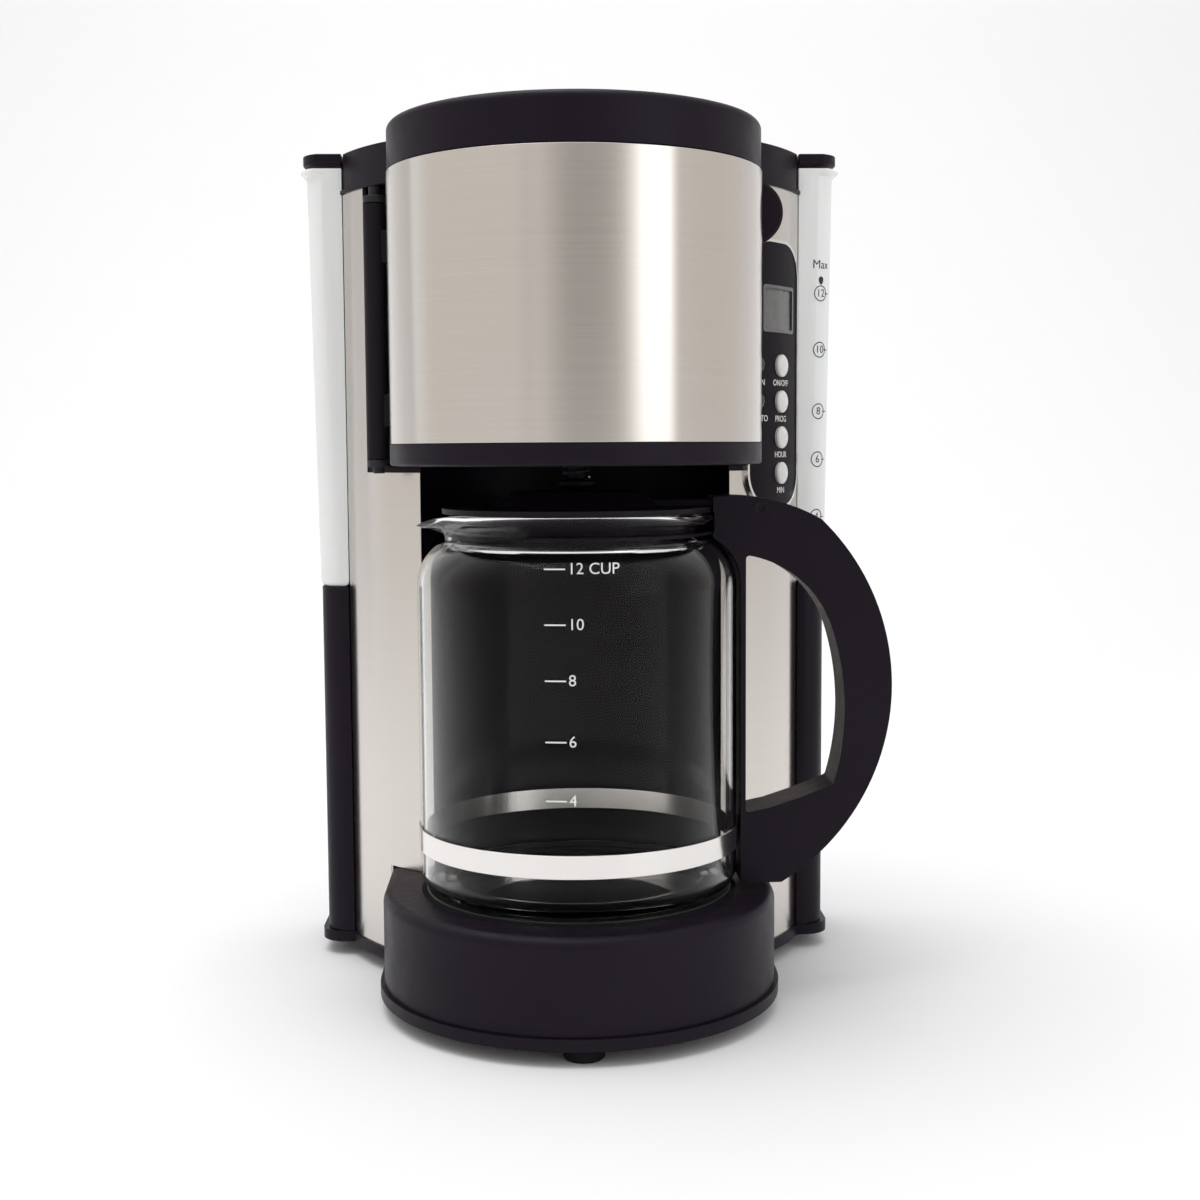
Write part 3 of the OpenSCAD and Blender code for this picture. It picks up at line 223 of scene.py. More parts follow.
BLACK = (0.0070, 0.0042, 0.0088)
MATERIALS = {
    "black_plastic": moulded("black_plastic", BLACK, 0.40),
    "inner_plastic": moulded("inner_plastic", (0.006, 0.005, 0.007), 0.5, gloss=0.12),
    "steel_skin": brushed("steel_skin", (0.66, 0.625, 0.585), 0.21),
    "steel_part": plain_metal("steel_part", (0.55, 0.54, 0.53), 0.28),
    "black_steel": moulded("black_steel", (0.012, 0.011, 0.013), 0.42, 0.00001, 900, 0.3),
    "band_steel": brushed("band_steel", (0.80, 0.775, 0.75), 0.18, 0.5),
    "bright_trim": plain_metal("bright_trim", (0.86, 0.85, 0.84), 0.12),
    "silver_button": moulded("silver_button", (0.60, 0.59, 0.58), 0.24, 0.000004, 900, 0.7),
    "panel_black": moulded("panel_black", (0.0045, 0.0026, 0.0055), 0.34, gloss=0.08),
    "window_clear": clear_glass("window_clear", (0.80, 0.82, 0.82), 0.03, 0.00001),
    "lcd_grey": moulded("lcd_grey", (0.115, 0.118, 0.12), 0.20, 0.000002, 400, 0.6),
    "tank_white": milky("tank_white", (0.995, 0.99, 0.975), 0.40, 0.16),
    # Painted shade: shine 0.08 keeps only 8% of the glass's reflection, so the carafe looks as dark as
    # dark surroundings in front would make it
    "carafe_glass": clear_glass("carafe_glass", (0.985, 0.99, 0.985), shine=0.08),
    "rubber": moulded("rubber", (0.008, 0.008, 0.008), 0.75, 0.00004, 1200, 0.12),
    "silicone": milky("silicone", (0.72, 0.70, 0.66), 0.5, 0.25),
    "plate_coat": moulded("plate_coat", (0.009, 0.009, 0.010), 0.33, 0.00003, 2400, 0.3),
    "cast_aluminium": plain_metal("cast_aluminium", (0.60, 0.60, 0.60), 0.42, 0.00004),
    "board_green": moulded("board_green", (0.015, 0.10, 0.04), 0.35),
    "white_plastic": moulded("white_plastic", (0.70, 0.70, 0.68), 0.35, 0.00001),
}
WHITE_INK = ink("white_ink", (0.86, 0.86, 0.84))
BLACK_INK = ink("black_ink", (0.012, 0.012, 0.014))
GHOST_INK = ink("ghost_ink", (0.10, 0.105, 0.10))
FRAME_GREY = plain_metal("frame_grey", (0.20, 0.20, 0.21), 0.25)

SLOT = {part["node"]: part["material_slot"] for part in frame["record"]["subparts"]}
BODY = {node: body for body, nodes in frame["record"]["behaviour"]["bodies"].items() for node in nodes}


def paint(piece, material):
    piece.data.materials.clear()
    piece.data.materials.append(material)


# ---- Making pieces -------------------------------------------------------------------------

def new_piece(name, points, faces, body, material, smooth=True, turn=40):
    """A mesh piece of the object, riding on a CAD body."""
    mesh = bpy.data.meshes.new(name)
    mesh.from_pydata([tuple(p) for p in points], [], faces)
    mesh.validate()
    piece = bpy.data.objects.new(name, mesh)
    bpy.context.scene.collection.objects.link(piece)
    tidy_normals(mesh)
    if smooth:
        mesh.shade_smooth()
        mesh.set_sharp_from_angle(angle=math.radians(turn))
    paint(piece, material)
    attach(piece, body)
    return piece


def tidy_normals(mesh):
    bm = bmesh.new()
    bm.from_mesh(mesh)
    bmesh.ops.recalc_face_normals(bm, faces=bm.faces)
    bm.to_mesh(mesh)
    bm.free()


def round_edges(piece, size, steps=3, turn=32):
    """Rounds every edge sharper than the turn, and keeps flat faces flat."""
    bevel = piece.modifiers.new("edges", "BEVEL")
    bevel.width = size
    bevel.segments = steps
    bevel.limit_method = "ANGLE"
    bevel.angle_limit = math.radians(turn)
    bevel.miter_outer = "MITER_ARC"
    bevel.harden_normals = True
    even = piece.modifiers.new("normals", "WEIGHTED_NORMAL")
    even.keep_sharp = True


def rounded_copy(node, size, steps=3, turn=32, material=None):
    """A copy of a CAD node with its edges rounded, shown in its place."""
    source = frame["nodes"][node].data
    mesh = bpy.data.meshes.new(node + "_rounded")
    mesh.from_pydata([v.co for v in source.vertices], [], [list(p.vertices) for p in source.polygons])
    bm = bmesh.new()
    bm.from_mesh(mesh)
    bmesh.ops.remove_doubles(bm, verts=bm.verts, dist=0.004 * MM)
    bmesh.ops.dissolve_limit(bm, angle_limit=math.radians(0.4), verts=bm.verts, edges=bm.edges)
    bmesh.ops.recalc_face_normals(bm, faces=bm.faces)
    bm.to_mesh(mesh)
    bm.free()
    mesh.shade_smooth()
    piece = bpy.data.objects.new(node + "_rounded", mesh)
    bpy.context.scene.collection.objects.link(piece)
    round_edges(piece, size, steps, turn)
    paint(piece, material or MATERIALS[SLOT[node]])
    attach(piece, BODY[node])
    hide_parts(node)
    return piece


def lathe(name, profile, body, material, centre=AXIS, steps=192, bend=None, turn=40):
    """Turns a closed profile of (radius, height) around the upright line at the centre."""
    points, faces = [], []
    count = len(profile)
    for i in range(steps):
        angle = 2 * math.pi * i / steps
        for r, z in profile:
            point = Vector((centre.x + r * math.sin(angle), centre.y - r * math.cos(angle), z))
            points.append(bend(point, r, z, angle) if bend else point)
    for i in range(steps):
        for k in range(count):
            a, b = i * count + k, i * count + (k + 1) % count
            step = (i + 1) % steps * count - i * count
            faces.append((a, b, b + step, a + step))
    return new_piece(name, points, faces, body, material, turn=turn)


def arc(cx, cz, r, start, stop, steps):
    """Points on a circle in a profile, with both ends; the angles are in degrees."""
    turns = [math.radians(start + (stop - start) * i / steps) for i in range(steps + 1)]
    return [(cx + r * math.cos(t), cz + r * math.sin(t)) for t in turns]


def print_shape(name, outline_object, place, body, material, cut=0.0006):
    """Turns a flat text or curve into a thin printed piece, laid on a surface by place(u, v)."""
    bpy.context.view_layer.update()
    flat = outline_object.evaluated_get(bpy.context.evaluated_depsgraph_get())
    mesh = bpy.data.meshes.new_from_object(flat)
    bpy.data.objects.remove(outline_object)
    bm = bmesh.new()
    bm.from_mesh(mesh)
    low = min(v.co.x for v in bm.verts)
    high = max(v.co.x for v in bm.verts)
    for i in range(1, int((high - low) / cut) + 1):
        where = Vector((low + i * cut, 0, 0))
        everything = bm.verts[:] + bm.edges[:] + bm.faces[:]
        bmesh.ops.bisect_plane(bm, geom=everything, plane_co=where, plane_no=(1, 0, 0))
    for v in bm.verts:
        v.co = place(v.co.x, v.co.y, v.co.z)
    bm.to_mesh(mesh)
    bm.free()
    mesh.name = name
    piece = bpy.data.objects.new(name, mesh)
    bpy.context.scene.collection.objects.link(piece)
    paint(piece, material)
    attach(piece, body)
    return piece


def flat_text(words, size, align="CENTER", squeeze=1.0, thick=0.00003):
    curve = bpy.data.curves.new("text", "FONT")
    curve.body = words
    curve.size = size
    curve.align_x = align
    curve.align_y = "CENTER"
    curve.extrude = thick
    curve.resolution_u = 4
    text = bpy.data.objects.new("text", curve)
    text.scale = (squeeze, 1, 1)
    bpy.context.scene.collection.objects.link(text)
    return text


def flat_outline(loops, thick=0.00003):
    """A filled flat shape from closed loops of points; loops inside others are holes."""
    curve = bpy.data.curves.new("shape", "CURVE")
    curve.dimensions = "2D"
    curve.fill_mode = "BOTH"
    curve.extrude = thick
    for loop in loops:
        spline = curve.splines.new("POLY")
        spline.points.add(len(loop) - 1)
        for point, (u, v) in zip(spline.points, loop):
            point.co = (u, v, 0, 1)
        spline.use_cyclic_u = True
    shape = bpy.data.objects.new("shape", curve)
    bpy.context.scene.collection.objects.link(shape)
    return shape


def ring_loop(u, v, r, steps=40):
    turns = [2 * math.pi * i / steps for i in range(steps)]
    return [(u + r * math.cos(t), v + r * math.sin(t)) for t in turns]


def box_loop(u0, v0, u1, v1):
    return [(u0, v0), (u1, v0), (u1, v1), (u0, v1)]


# ---- CAD nodes that keep their shape -------------------------------------------------------

def paint_frame():
    for node, piece in frame["nodes"].items():
        paint(piece, MATERIALS[SLOT[node]])


# Size in millimetres to which each outer node's edges are rounded
EDGES = {
    "base_plate": 1.2, "base_drum": 0.5, "rubber_feet": 0.5, "hot_plate": 0.5, "tower_shell": 0.35,
    "left_panel": 0.2, "right_panel": 0.2, "rear_housing": 0.8, "cord_gland": 0.4, "cord_cleat": 1.2,
    "top_cover": 0.7, "tank_lid": 1.6, "control_panel": 0.4, "panel_trim_ring": 0.35,
    "display_frame": 0.25, "basket_wrap": 0.2, "basket_ring": 0.4, "basket_grip": 0.5,
    "basket_housing": 0.5, "filter_basket": 0.4, "hinge_brackets": 0.3, "drip_valve": 0.4,
    "carafe_band": 0.2, "carafe_handle": 2.6, "carafe_collar": 0.3, "carafe_lid": 0.8,
    "button_on_off": 0.3, "button_prog": 0.3, "button_hour": 0.3, "button_min": 0.3,
    "shower_head": 0.3, "display_window": 0.2, "back_panel": 0.4,
}


def round_frame():
    for node, size in EDGES.items():
        rounded_copy(node, size * MM, material=FRAME_GREY if node == "display_frame" else None)


# ---- Carafe --------------------------------------------------------------------------------

WALL = 2.4 * MM
FOOT_R = 8 * MM
SHOULDER_R = 22 * MM
SHOULDER_DROP = 30.5 * MM
NECK_BEND_R = 4 * MM
NECK_BEND_RISE = 3.1 * MM
NECK_R = 54 * MM
RIM_R = 59 * MM
BEAD_R = 2 * MM
LIP_REACH = 11.0 * MM
LIP_DROP = 5.0 * MM
LIP_TALL = 17 * MM
LIP_HALF = math.radians(36)


def glass_side(inset):
    """Wall of the carafe from its foot up to the neck, pulled in by inset."""
    top = GLASS_HIGH[2]
    shoulder = top - SHOULDER_DROP
    foot = arc(GLASS_R - FOOT_R, GLASS_Z + FOOT_R, FOOT_R - inset, -78, 0, 12)
    over = arc(GLASS_R - SHOULDER_R, shoulder, SHOULDER_R - inset, 0, 62, 22)
    bend_r = NECK_BEND_R + inset
    bend_z = over[-1][1] + NECK_BEND_RISE
    bend = arc(NECK_R - inset + bend_r, bend_z, bend_r, 232, 180, 8)
    tall = shoulder - GLASS_Z - FOOT_R
    rise = [(GLASS_R - inset, GLASS_Z + FOOT_R + tall * k / 14) for k in range(1, 14)]
    return foot + rise + over + bend


def glass_profile():
    top = GLASS_HIGH[2]
    out = [(0.0006, GLASS_Z + 2.2 * MM), (30 * MM, GLASS_Z + 1.9 * MM), (52 * MM, GLASS_Z + 1.0 * MM)]
    out += [(57 * MM, GLASS_Z + 0.1 * MM)]
    out += glass_side(0)
    flare = [(NECK_R + 0.3 * MM, top - 6.8 * MM), (NECK_R + 1.6 * MM, top - 5.4 * MM)]
    bead = arc(RIM_R - BEAD_R, top - BEAD_R, BEAD_R, -60, 180, 16)
    inner_flare = [(NECK_R - WALL + 1.6 * MM, top - 5.0 * MM), (NECK_R - WALL + 0.3 * MM, top - 6.8 * MM)]
    inside = glass_side(WALL)
    inside = [p for p in inside if p[1] > GLASS_Z + 4.2 * MM]
    floor = [(52 * MM, GLASS_Z + 4.1 * MM), (30 * MM, GLASS_Z + 4.9 * MM), (0.0006, GLASS_Z + 5.2 * MM)]
    return out + flare + bead + inner_flare + inside[::-1] + floor


def pour_lip(point, r, z, angle):
    """Draws the rim out and down into a pouring lip on the -X side."""
    off = abs(math.remainder(angle - 1.5 * math.pi, 2 * math.pi))
    if off > LIP_HALF or r < 0.6 * NECK_R:
        return point
    top = GLASS_HIGH[2]
    near = 0.5 + 0.5 * math.cos(math.pi * off / LIP_HALF)
    rise = min(1.0, max(0.0, (z - (top - LIP_TALL)) / LIP_TALL))
    pull = near ** 1.25 * rise ** 1.8
    point.x -= LIP_REACH * pull
    point.y = AXIS.y + (point.y - AXIS.y) * (1 - 0.12 * pull)
    point.z -= LIP_DROP * near ** 2 * rise ** 3
    return point


def carafe_glass():
    glass = lathe("carafe_glass_blown", glass_profile(), "carafe", MATERIALS["carafe_glass"],
                  bend=pour_lip, steps=288, turn=60)
    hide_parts("carafe_glass")


def on_glass(base_angle, z):
    """Places flat (u, v) prints on the front of the glass."""
    def place(u, v, w):
        angle = base_angle + u / GLASS_R
        r = GLASS_R + 0.05 * MM + w
        return Vector((AXIS.x + r * math.sin(angle), AXIS.y - r * math.cos(angle), z + v))
    return place


def carafe_scale():
    """The cup scale printed on the glass."""
    marks = [(12, 141.0), (10, 119.1), (8, 97.0), (6, 72.7), (4, 49.2)]
    for cups, up in marks:
        z = GLASS_Z + up * MM
        line = flat_outline([box_loop(0, -0.3 * MM, 8.4 * MM, 0.3 * MM)])
        print_shape(f"cup_line_{cups}", line, on_glass(math.radians(-12.0), z), "carafe", WHITE_INK)
        words = f"{cups} CUP" if cups == 12 else str(cups)
        text = flat_text(words, 6.4 * MM, "LEFT", 0.86)
        print_shape(f"cup_number_{cups}", text, on_glass(math.radians(-4.2), z), "carafe", WHITE_INK)


# ---- Water tank ----------------------------------------------------------------------------

COLUMN_R = 12 * MM
TANK_FRONT = 88.5 * MM
COLUMN_IN = BODY_HALF + 0.6 * MM
COLUMN_FRONT = BOW_Y - math.sqrt(BOW_R ** 2 - BODY_HALF ** 2) + 1.2 * MM
TANK_CORNER = 18 * MM
TANK_HALF = TANK_HIGH[0] - AXIS.x - 2.7 * MM
COLUMN_Y = COLUMN_FRONT + COLUMN_R
TANK_DRAFT = 3 * MM
TANK_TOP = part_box("tank_lid")[0][2]


def tank_side_at(z):
    """Half-width of the tank at a height."""
    share = (TANK_TOP - z) / (TANK_TOP - TANK_LOW[2])
    return TANK_HALF - TANK_DRAFT * max(0.0, min(1.0, share))


def on_tank(side, start, z):
    """Places flat (u, v) prints around a column's rounded corner and back along its side."""
    def place(u, v, w):
        half = tank_side_at(z + v)
        along = start + u
        r = COLUMN_R + 0.06 * MM + w
        quarter = math.pi / 2 * COLUMN_R
        turn = max(0.0, min(along, quarter)) / COLUMN_R
        x = half - COLUMN_R + r * math.sin(turn) + min(0.0, along)
        y = COLUMN_Y - r * math.cos(turn) + max(0.0, along - quarter)
        return Vector((AXIS.x + side * x, y, z + v))
    return place


def tank_scale():
    """The cup scale printed on the tank's right side, with a drop at its highest level."""
    marks = [(12, 312.2), (10, 286.1), (8, 257.4), (6, 234.9), (4, 207.8)]
    start = 6.8 * MM
    for cups, z in marks:
        r = 3.7 * MM
        ring = flat_outline([ring_loop(0, 0, r), ring_loop(0, 0, r - 0.45 * MM)])
        print_shape(f"tank_ring_{cups}", ring, on_tank(1, start, z * MM), "body", BLACK_INK)
        number = flat_text(str(cups), 5.0 * MM, squeeze=0.72)
        print_shape(f"tank_number_{cups}", number, on_tank(1, start, z * MM), "body", BLACK_INK)
        dash = flat_outline([box_loop(r - 1.2 * MM, -0.2 * MM, r + 1.8 * MM, 0.2 * MM)])
        print_shape(f"tank_dash_{cups}", dash, on_tank(1, start, z * MM), "body", BLACK_INK)
    drop = [(1.35 * MM * math.sin(t) * (1 - 0.28 * math.cos(t)), 1.5 * MM - 1.9 * MM * math.cos(t))
            for t in [2 * math.pi * i / 32 for i in range(32)]]
    print_shape("tank_drop", flat_outline([drop]), on_tank(1, start, 316.6 * MM), "body", BLACK_INK)
    print_shape("tank_max", flat_text("Max", 5.6 * MM, squeeze=0.8), on_tank(1, start, 325.4 * MM),
                "body", BLACK_INK)


def tank_outline(half, back, inset, steps=14):
    """Plan of the tank, a box with a column forward at each side, as a closed list of points."""
    r = COLUMN_R - inset
    corner = TANK_CORNER - inset
    inward = max(inset, 0.0)
    front = AXIS.y + TANK_FRONT + inward
    right = [(COLUMN_IN + inward, COLUMN_FRONT + inward)]
    for i in range(steps * 2 + 1):
        t = math.pi / 2 * i / (2 * steps)
        right.append((half - COLUMN_R + r * math.sin(t),
                      max(COLUMN_FRONT + inward, COLUMN_Y - r * math.cos(t))))
    kx, ky = half - TANK_CORNER, back - TANK_CORNER
    for i in range(steps + 1):
        t = math.pi / 2 * i / steps
        right.append((kx + corner * math.cos(t), ky + corner * math.sin(t)))
    whole = [(COLUMN_IN + inward, front)] + right
    left = [(-x, y) for x, y in whole[::-1]]
    return [(AXIS.x + x, y) for x, y in whole + left]


def tank():
    """The translucent tank: a drafted shell with a rounded foot and a rim that stands out."""
    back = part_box("tank_lid_pin")[0][1] - 4.8 * MM
    foot = TANK_LOW[2]
    wall = 2.2 * MM
    round_r = 3.0 * MM
    levels = []
    for i in range(7):
        t = math.pi / 2 * i / 6
        levels.append((foot + round_r * (1 - math.cos(t)), round_r * (1 - math.sin(t))))
    outer = [(z, inset) for z, inset in levels] + [(TANK_TOP - 3.4 * MM, 0.0)]
    rim = [(TANK_TOP - 2.6 * MM, -0.6 * MM), (TANK_TOP - 2.0 * MM, -2.3 * MM),
           (TANK_TOP - 1.5 * MM, -2.7 * MM), (TANK_TOP - 0.7 * MM, -2.7 * MM),
           (TANK_TOP - 0.25 * MM, -2.3 * MM), (TANK_TOP - 0.25 * MM, wall)]
    inner = [(foot + 4.5 * MM, wall), (foot + 2.6 * MM, wall + 2 * MM)]
    points, loops = [], []
    for z, inset in outer + rim + inner:
        half = tank_side_at(z)
        shrink = TANK_HALF - half
        ring = tank_outline(half, back - shrink, inset)
        loops.append(range(len(points), len(points) + len(ring)))
        points += [(x, y, z) for x, y in ring]
    faces = []
    for low, high in zip(loops, loops[1:]):
        count = len(low)
        for i in range(count):
            k = (i + 1) % count
            faces.append((low[i], low[k], high[k], high[i]))
    faces.append(list(loops[0])[::-1])
    faces.append(list(loops[-1]))
    shell = new_piece("water_tank_moulded", points, faces, "body", MATERIALS["tank_white"], turn=35)
    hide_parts("water_tank")
    for side in (-1, 1):
        knuckle(side)


def knuckle(side):
    """A hinge eye of the tank, with its web."""
    pin = middle("tank_lid_pin")
    r = 3.2 * MM
    half = 7 * MM
    x = AXIS.x + side * 38 * MM
    profile = [(pin.y + r * math.cos(t), pin.z + r * math.sin(t))
               for t in [math.radians(-90 + 15 * i) for i in range(19)]]
    profile.append((pin.y - r - 1.0 * MM, TANK_TOP - 0.4 * MM))
    profile.append((pin.y - r - 2.4 * MM, TANK_TOP - 0.4 * MM))
    profile.append((pin.y - r - 2.4 * MM, TANK_TOP - 4.2 * MM))
    count = len(profile)
    points = [(x + s * half, y, z) for s in (-1, 1) for y, z in profile]
    faces = [tuple(range(count)), tuple(range(2 * count - 1, count - 1, -1))]
    faces += [(i, (i + 1) % count, (i + 1) % count + count, i + count) for i in range(count)]
    name = "tank_knuckle_right" if side > 0 else "tank_knuckle_left"
    eye = new_piece(name, points, faces, "body", MATERIALS["tank_white"])
    round_edges(eye, 0.4 * MM, 2)


# ---- Control panel -------------------------------------------------------------------------

def on_panel(angle, z, lift):
    """Places flat (u, v) prints on the bowed control panel."""
    def place(u, v, w):
        turn = angle + u / BOW_R
        return on_bow(turn, z + v, lift + w)
    return place


LABEL_LIFT = 1.45 * MM
LABEL_DROP = 7.9 * MM
LABEL_SIZE = 3.9 * MM
LABEL_SQUEEZE = 0.72
LAMP_R = 3 * MM


def panel_label(name, words, angle, z):
    """A white label on the panel, under the button or lamp at this angle and height."""
    text = flat_text(words, LABEL_SIZE, squeeze=LABEL_SQUEEZE)
    print_shape(name, text, on_panel(angle, z - LABEL_DROP, LABEL_LIFT), "body", WHITE_INK)


def panel_prints():
    for node, words in (("button_on_off", "ON/OFF"), ("button_prog", "PROG"),
                        ("button_hour", "HOUR"), ("button_min", "MIN")):
        panel_label("label_" + node, words, PANEL_ANGLE, middle(node).z)
    low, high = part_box("indicator_lamps")
    for i, (words, z) in enumerate((("AUTO", low[2] + LAMP_R), ("ON", high[2] - LAMP_R))):
        panel_label(f"label_lamp_{i}", words, LAMP_ANGLE, z)


DIGIT_SINK = 1.1 * MM


def segment_loops(x, height, bar, slant=0.06):
    """The seven bars of one display digit, as flat loops."""
    wide = height * 0.5
    half = height / 2
    gap = bar * 0.35
    flat = [(x, v) for v in (0, half, height)]
    loops = []
    for u, v in flat:
        loops.append(box_loop(u + gap + bar / 2, v - bar / 2, u + wide - gap - bar / 2, v + bar / 2))
    for u in (x, x + wide):
        for v in (0, half):
            loops.append(box_loop(u - bar / 2, v + gap + bar / 2, u + bar / 2, v + half - gap - bar / 2))
    return [[(u + slant * v, v) for u, v in loop] for loop in loops]


def display_digits():
    """The unlit digits of the liquid crystal display."""
    window = middle("display_window")
    height = 8.6 * MM
    pitch = 5.4 * MM
    loops = []
    for x in (-2.15, -1.1, 0.22, 1.27):
        loops += segment_loops(x * pitch, height, 0.75 * MM)
    for v in (0.3, 0.7):
        loops.append(ring_loop(-0.1 * pitch, v * height, 0.5 * MM, 16))
    angle = math.atan2(window.x - AXIS.x, BOW_Y - window.y)
    place = on_panel(angle, window.z - height / 2, -DIGIT_SINK)
    print_shape("display_digits", flat_outline(loops), place, "body", GHOST_INK)


# ---- Small details -------------------------------------------------------------------------

def lid_pin_plugs():
    """A dished black plug over each end of the lid's pin."""
    pin = middle("lid_pin")
    low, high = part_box("carafe_handle")
    profile = [(0.0, -0.35), (0.9, -0.35), (1.5, -0.25), (1.9, 0.05), (2.2, 0.22), (2.6, 0.25),
               (2.95, 0.12), (3.05, -0.30), (3.05, -0.60), (0.0, -0.60)]
    around = 48
    for side, y in ((-1, low[1]), (1, high[1])):
        points, faces = [], []
        for i in range(around):
            t = 2 * math.pi * i / around
            for r, out in profile:
                points.append((pin.x + r * MM * math.cos(t), y + side * out * MM,
                               pin.z + r * MM * math.sin(t)))
        count = len(profile)
        for i in range(around):
            for k in range(count - 1):
                a, b = i * count + k, i * count + k + 1
                step = ((i + 1) % around - i) * count
                faces.append((a, b, b + step, a + step))
        name = "pin_plug_front" if side < 0 else "pin_plug_back"
        plug = new_piece(name, points, faces, "carafe", MATERIALS["black_plastic"], turn=50)
        bm = bmesh.new()
        bm.from_mesh(plug.data)
        bmesh.ops.remove_doubles(bm, verts=bm.verts, dist=0.001 * MM)
        bmesh.ops.recalc_face_normals(bm, faces=bm.faces)
        bm.to_mesh(plug.data)
        bm.free()


# ---- Stage ---------------------------------------------------------------------------------

def stage_material(name, colour, rough):
    m = Nodes(name, Base_Color=(*colour, 1), Roughness=rough, Specular_IOR_Level=0.2)
    m.link(m.tint(m.noise((1, 1, 1), 3, 3), tuple(c * 0.985 for c in colour), colour),
           m.shader.inputs["Base Color"])
    return m.material


def sweep():
    """A pale floor that curves up into the backdrop behind the object."""
    back, bend, tall, front, half = 1.9, 0.9, 3.2, 3.0, 4.0
    line = [(-front, 0.0), (0.0, 0.0), (back - bend, 0.0)]
    line += [(back - bend + bend * math.sin(t), bend * (1 - math.cos(t)))
             for t in [math.pi / 2 * i / 24 for i in range(1, 25)]]
    line.append((back, tall))
    points = [(x, y, z) for x in (-half, half) for y, z in line]
    count = len(line)
    faces = [(i, i + 1, i + 1 + count, i + count) for i in range(count - 1)]
    mesh = bpy.data.meshes.new("sweep")
    mesh.from_pydata(points, [], faces)
    mesh.shade_smooth()
    floor = bpy.data.objects.new("sweep", mesh)
    bpy.context.scene.collection.objects.link(floor)
    paint(floor, stage_material("sweep_paper", (0.835, 0.835, 0.84), 0.8))


BRIGHTEST = 2.2


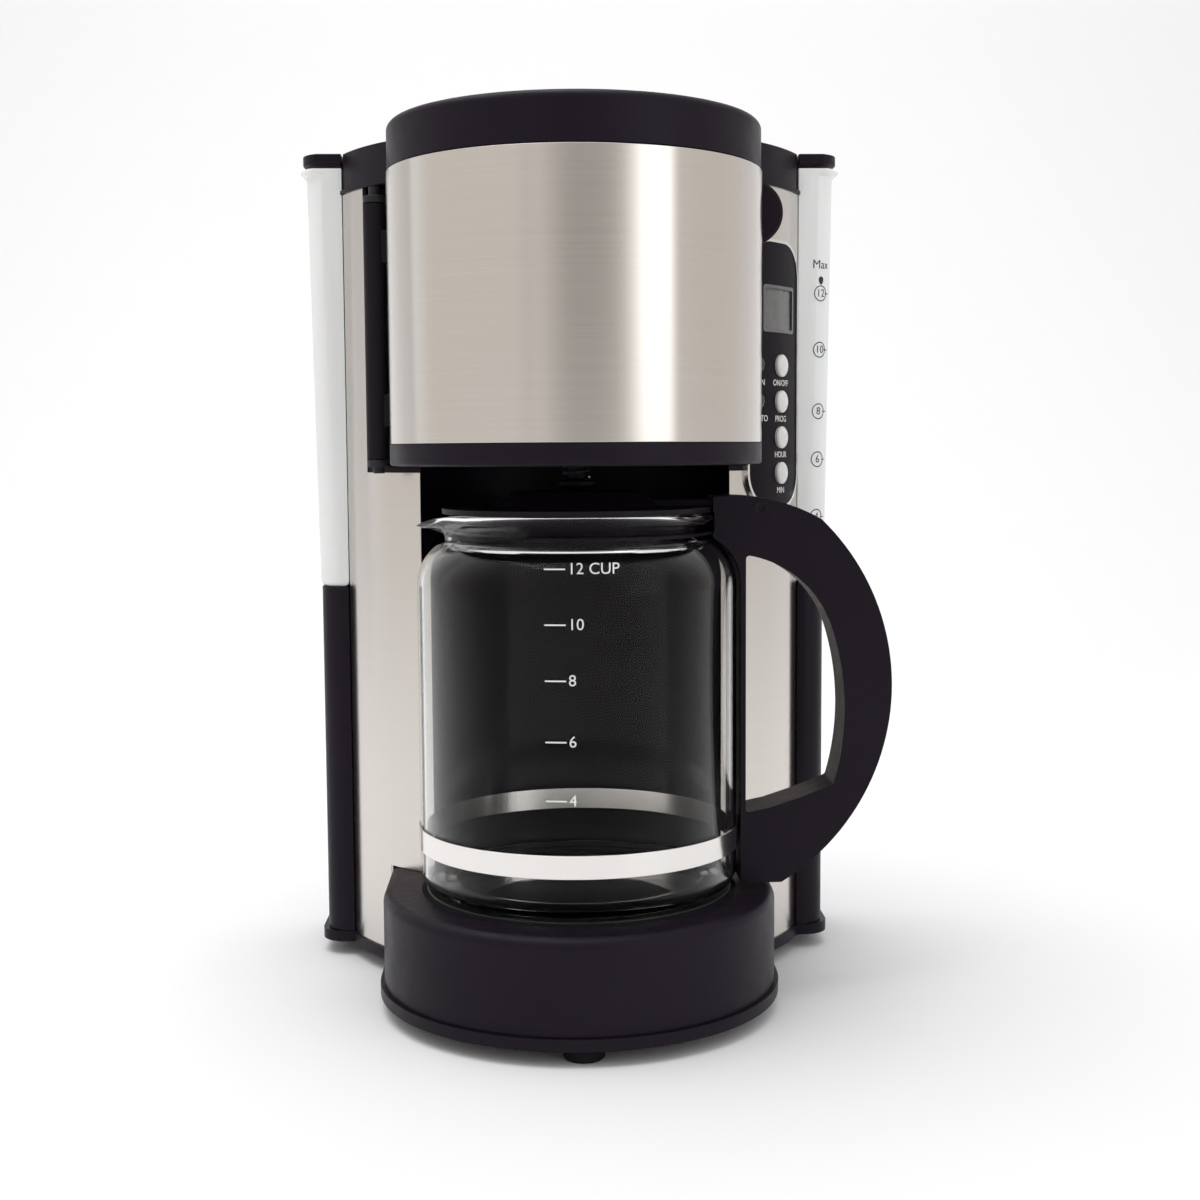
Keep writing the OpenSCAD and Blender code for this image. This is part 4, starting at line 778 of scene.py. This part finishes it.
def world():
    """Soft studio surroundings: bright and dark stretches around the horizon, light above."""
    surroundings = bpy.data.worlds.new("studio")
    bpy.context.scene.world = surroundings
    surroundings.use_nodes = True
    tree = surroundings.node_tree
    tree.nodes.clear()
    out = tree.nodes.new("ShaderNodeOutputWorld")
    sky = tree.nodes.new("ShaderNodeBackground")
    way = tree.nodes.new("ShaderNodeTexCoord").outputs["Generated"]
    split = tree.nodes.new("ShaderNodeSeparateXYZ")
    tree.links.new(way, split.inputs[0])
    front = tree.nodes.new("ShaderNodeMath")
    front.operation = "MULTIPLY"
    front.inputs[1].default_value = -1
    tree.links.new(split.outputs["Y"], front.inputs[0])
    turn = tree.nodes.new("ShaderNodeMath")
    turn.operation = "ARCTAN2"
    tree.links.new(split.outputs["X"], turn.inputs[0])
    tree.links.new(front.outputs[0], turn.inputs[1])
    share = tree.nodes.new("ShaderNodeMapRange")
    share.inputs["From Min"].default_value = -math.pi
    share.inputs["From Max"].default_value = math.pi
    tree.links.new(turn.outputs[0], share.inputs["Value"])
    around = tree.nodes.new("ShaderNodeValToRGB")
    tree.links.new(share.outputs["Result"], around.inputs["Fac"])
    # Degrees from the front towards +X, and the brightness there
    stops = [(-180, 1.05), (-150, 1.0), (-112, 0.95), (-98, 0.78), (-36, 0.74), (-30, 0.64), (-22, 0.70),
             (-15, 0.56), (-6, 0.40), (0, 0.36), (13, 0.38), (22, 0.50), (28, 0.75), (33, 1.15),
             (38, 1.8), (42, 2.15), (57, 2.15), (60, 1.2), (62.5, 0.74), (75, 0.72), (90, 0.70),
             (120, 0.76), (150, 1.0), (180, 1.05)]
    ramp = around.color_ramp
    while len(ramp.elements) < len(stops):
        ramp.elements.new(0.5)
    for element, (angle, level) in zip(ramp.elements, stops):
        element.position = (angle + 180) / 360
        warm = 0.94 if level < 0.8 else 1.0
        element.color = (level / BRIGHTEST, level * warm / BRIGHTEST, level * warm * warm / BRIGHTEST, 1)
    above = tree.nodes.new("ShaderNodeMapRange")
    above.inputs["From Min"].default_value = 0.15
    above.inputs["From Max"].default_value = 0.75
    tree.links.new(split.outputs["Z"], above.inputs["Value"])
    mix = tree.nodes.new("ShaderNodeMix")
    mix.data_type = "RGBA"
    mix.inputs["B"].default_value = (0.42, 0.42, 0.43, 1)
    tree.links.new(above.outputs["Result"], mix.inputs["Factor"])
    tree.links.new(around.outputs["Color"], mix.inputs["A"])
    tree.links.new(mix.outputs["Result"], sky.inputs["Color"])
    sky.inputs["Strength"].default_value = BRIGHTEST
    plain = tree.nodes.new("ShaderNodeBackground")
    plain.inputs["Color"].default_value = (0.93, 0.93, 0.945, 1)
    seen = tree.nodes.new("ShaderNodeLightPath").outputs["Is Camera Ray"]
    choose = tree.nodes.new("ShaderNodeMixShader")
    tree.links.new(seen, choose.inputs[0])
    tree.links.new(sky.outputs[0], choose.inputs[1])
    tree.links.new(plain.outputs[0], choose.inputs[2])
    tree.links.new(choose.outputs[0], out.inputs["Surface"])


def soft_light(name, place, size, power, aim=(0, 0, 0.18)):
    lamp = bpy.data.lights.new(name, "AREA")
    lamp.shape = "RECTANGLE"
    lamp.size, lamp.size_y = size
    lamp.energy = power
    light = bpy.data.objects.new(name, lamp)
    light.location = place
    light.rotation_euler = (Vector(aim) - Vector(place)).to_track_quat("-Z", "Y").to_euler()
    light.visible_camera = False
    bpy.context.scene.collection.objects.link(light)


def lights():
    soft_light("overhead", (-0.3, -0.1, 1.7), (1.3, 1.3), 15)
    soft_light("backdrop", (0.0, 0.9, 1.9), (2.4, 0.6), 7, (0, 1.8, 0.9))


def camera():
    """Stands in front of the object, a little over its middle, and looks slightly down."""
    lens = bpy.data.cameras.new("camera")
    lens.sensor_width = 36
    lens.lens = 50.7
    lens.clip_start = 0.01
    view = bpy.data.objects.new("camera", lens)
    bpy.context.scene.collection.objects.link(view)
    bpy.context.scene.camera = view
    turn, down, roll = math.radians(1.94), math.radians(5.02), math.radians(0.34)
    ahead = Vector((math.sin(turn) * math.cos(down), math.cos(turn) * math.cos(down), -math.sin(down)))
    stand = AXIS + Vector((-14.70 * MM, -725.09 * MM, 239.11 * MM))
    facing = ahead.to_track_quat("-Z", "Y").to_matrix()
    turned = facing @ Matrix.Rotation(-roll, 3, "Z")
    view.matrix_world = Matrix.Translation(stand) @ turned.to_4x4()


# ---- Build ---------------------------------------------------------------------------------

paint_frame()
round_frame()
carafe_glass()
carafe_scale()
tank()
tank_scale()
panel_prints()
display_digits()
lid_pin_plugs()
sweep()
world()
lights()
camera()
bpy.context.scene.view_settings.view_transform = "Standard"
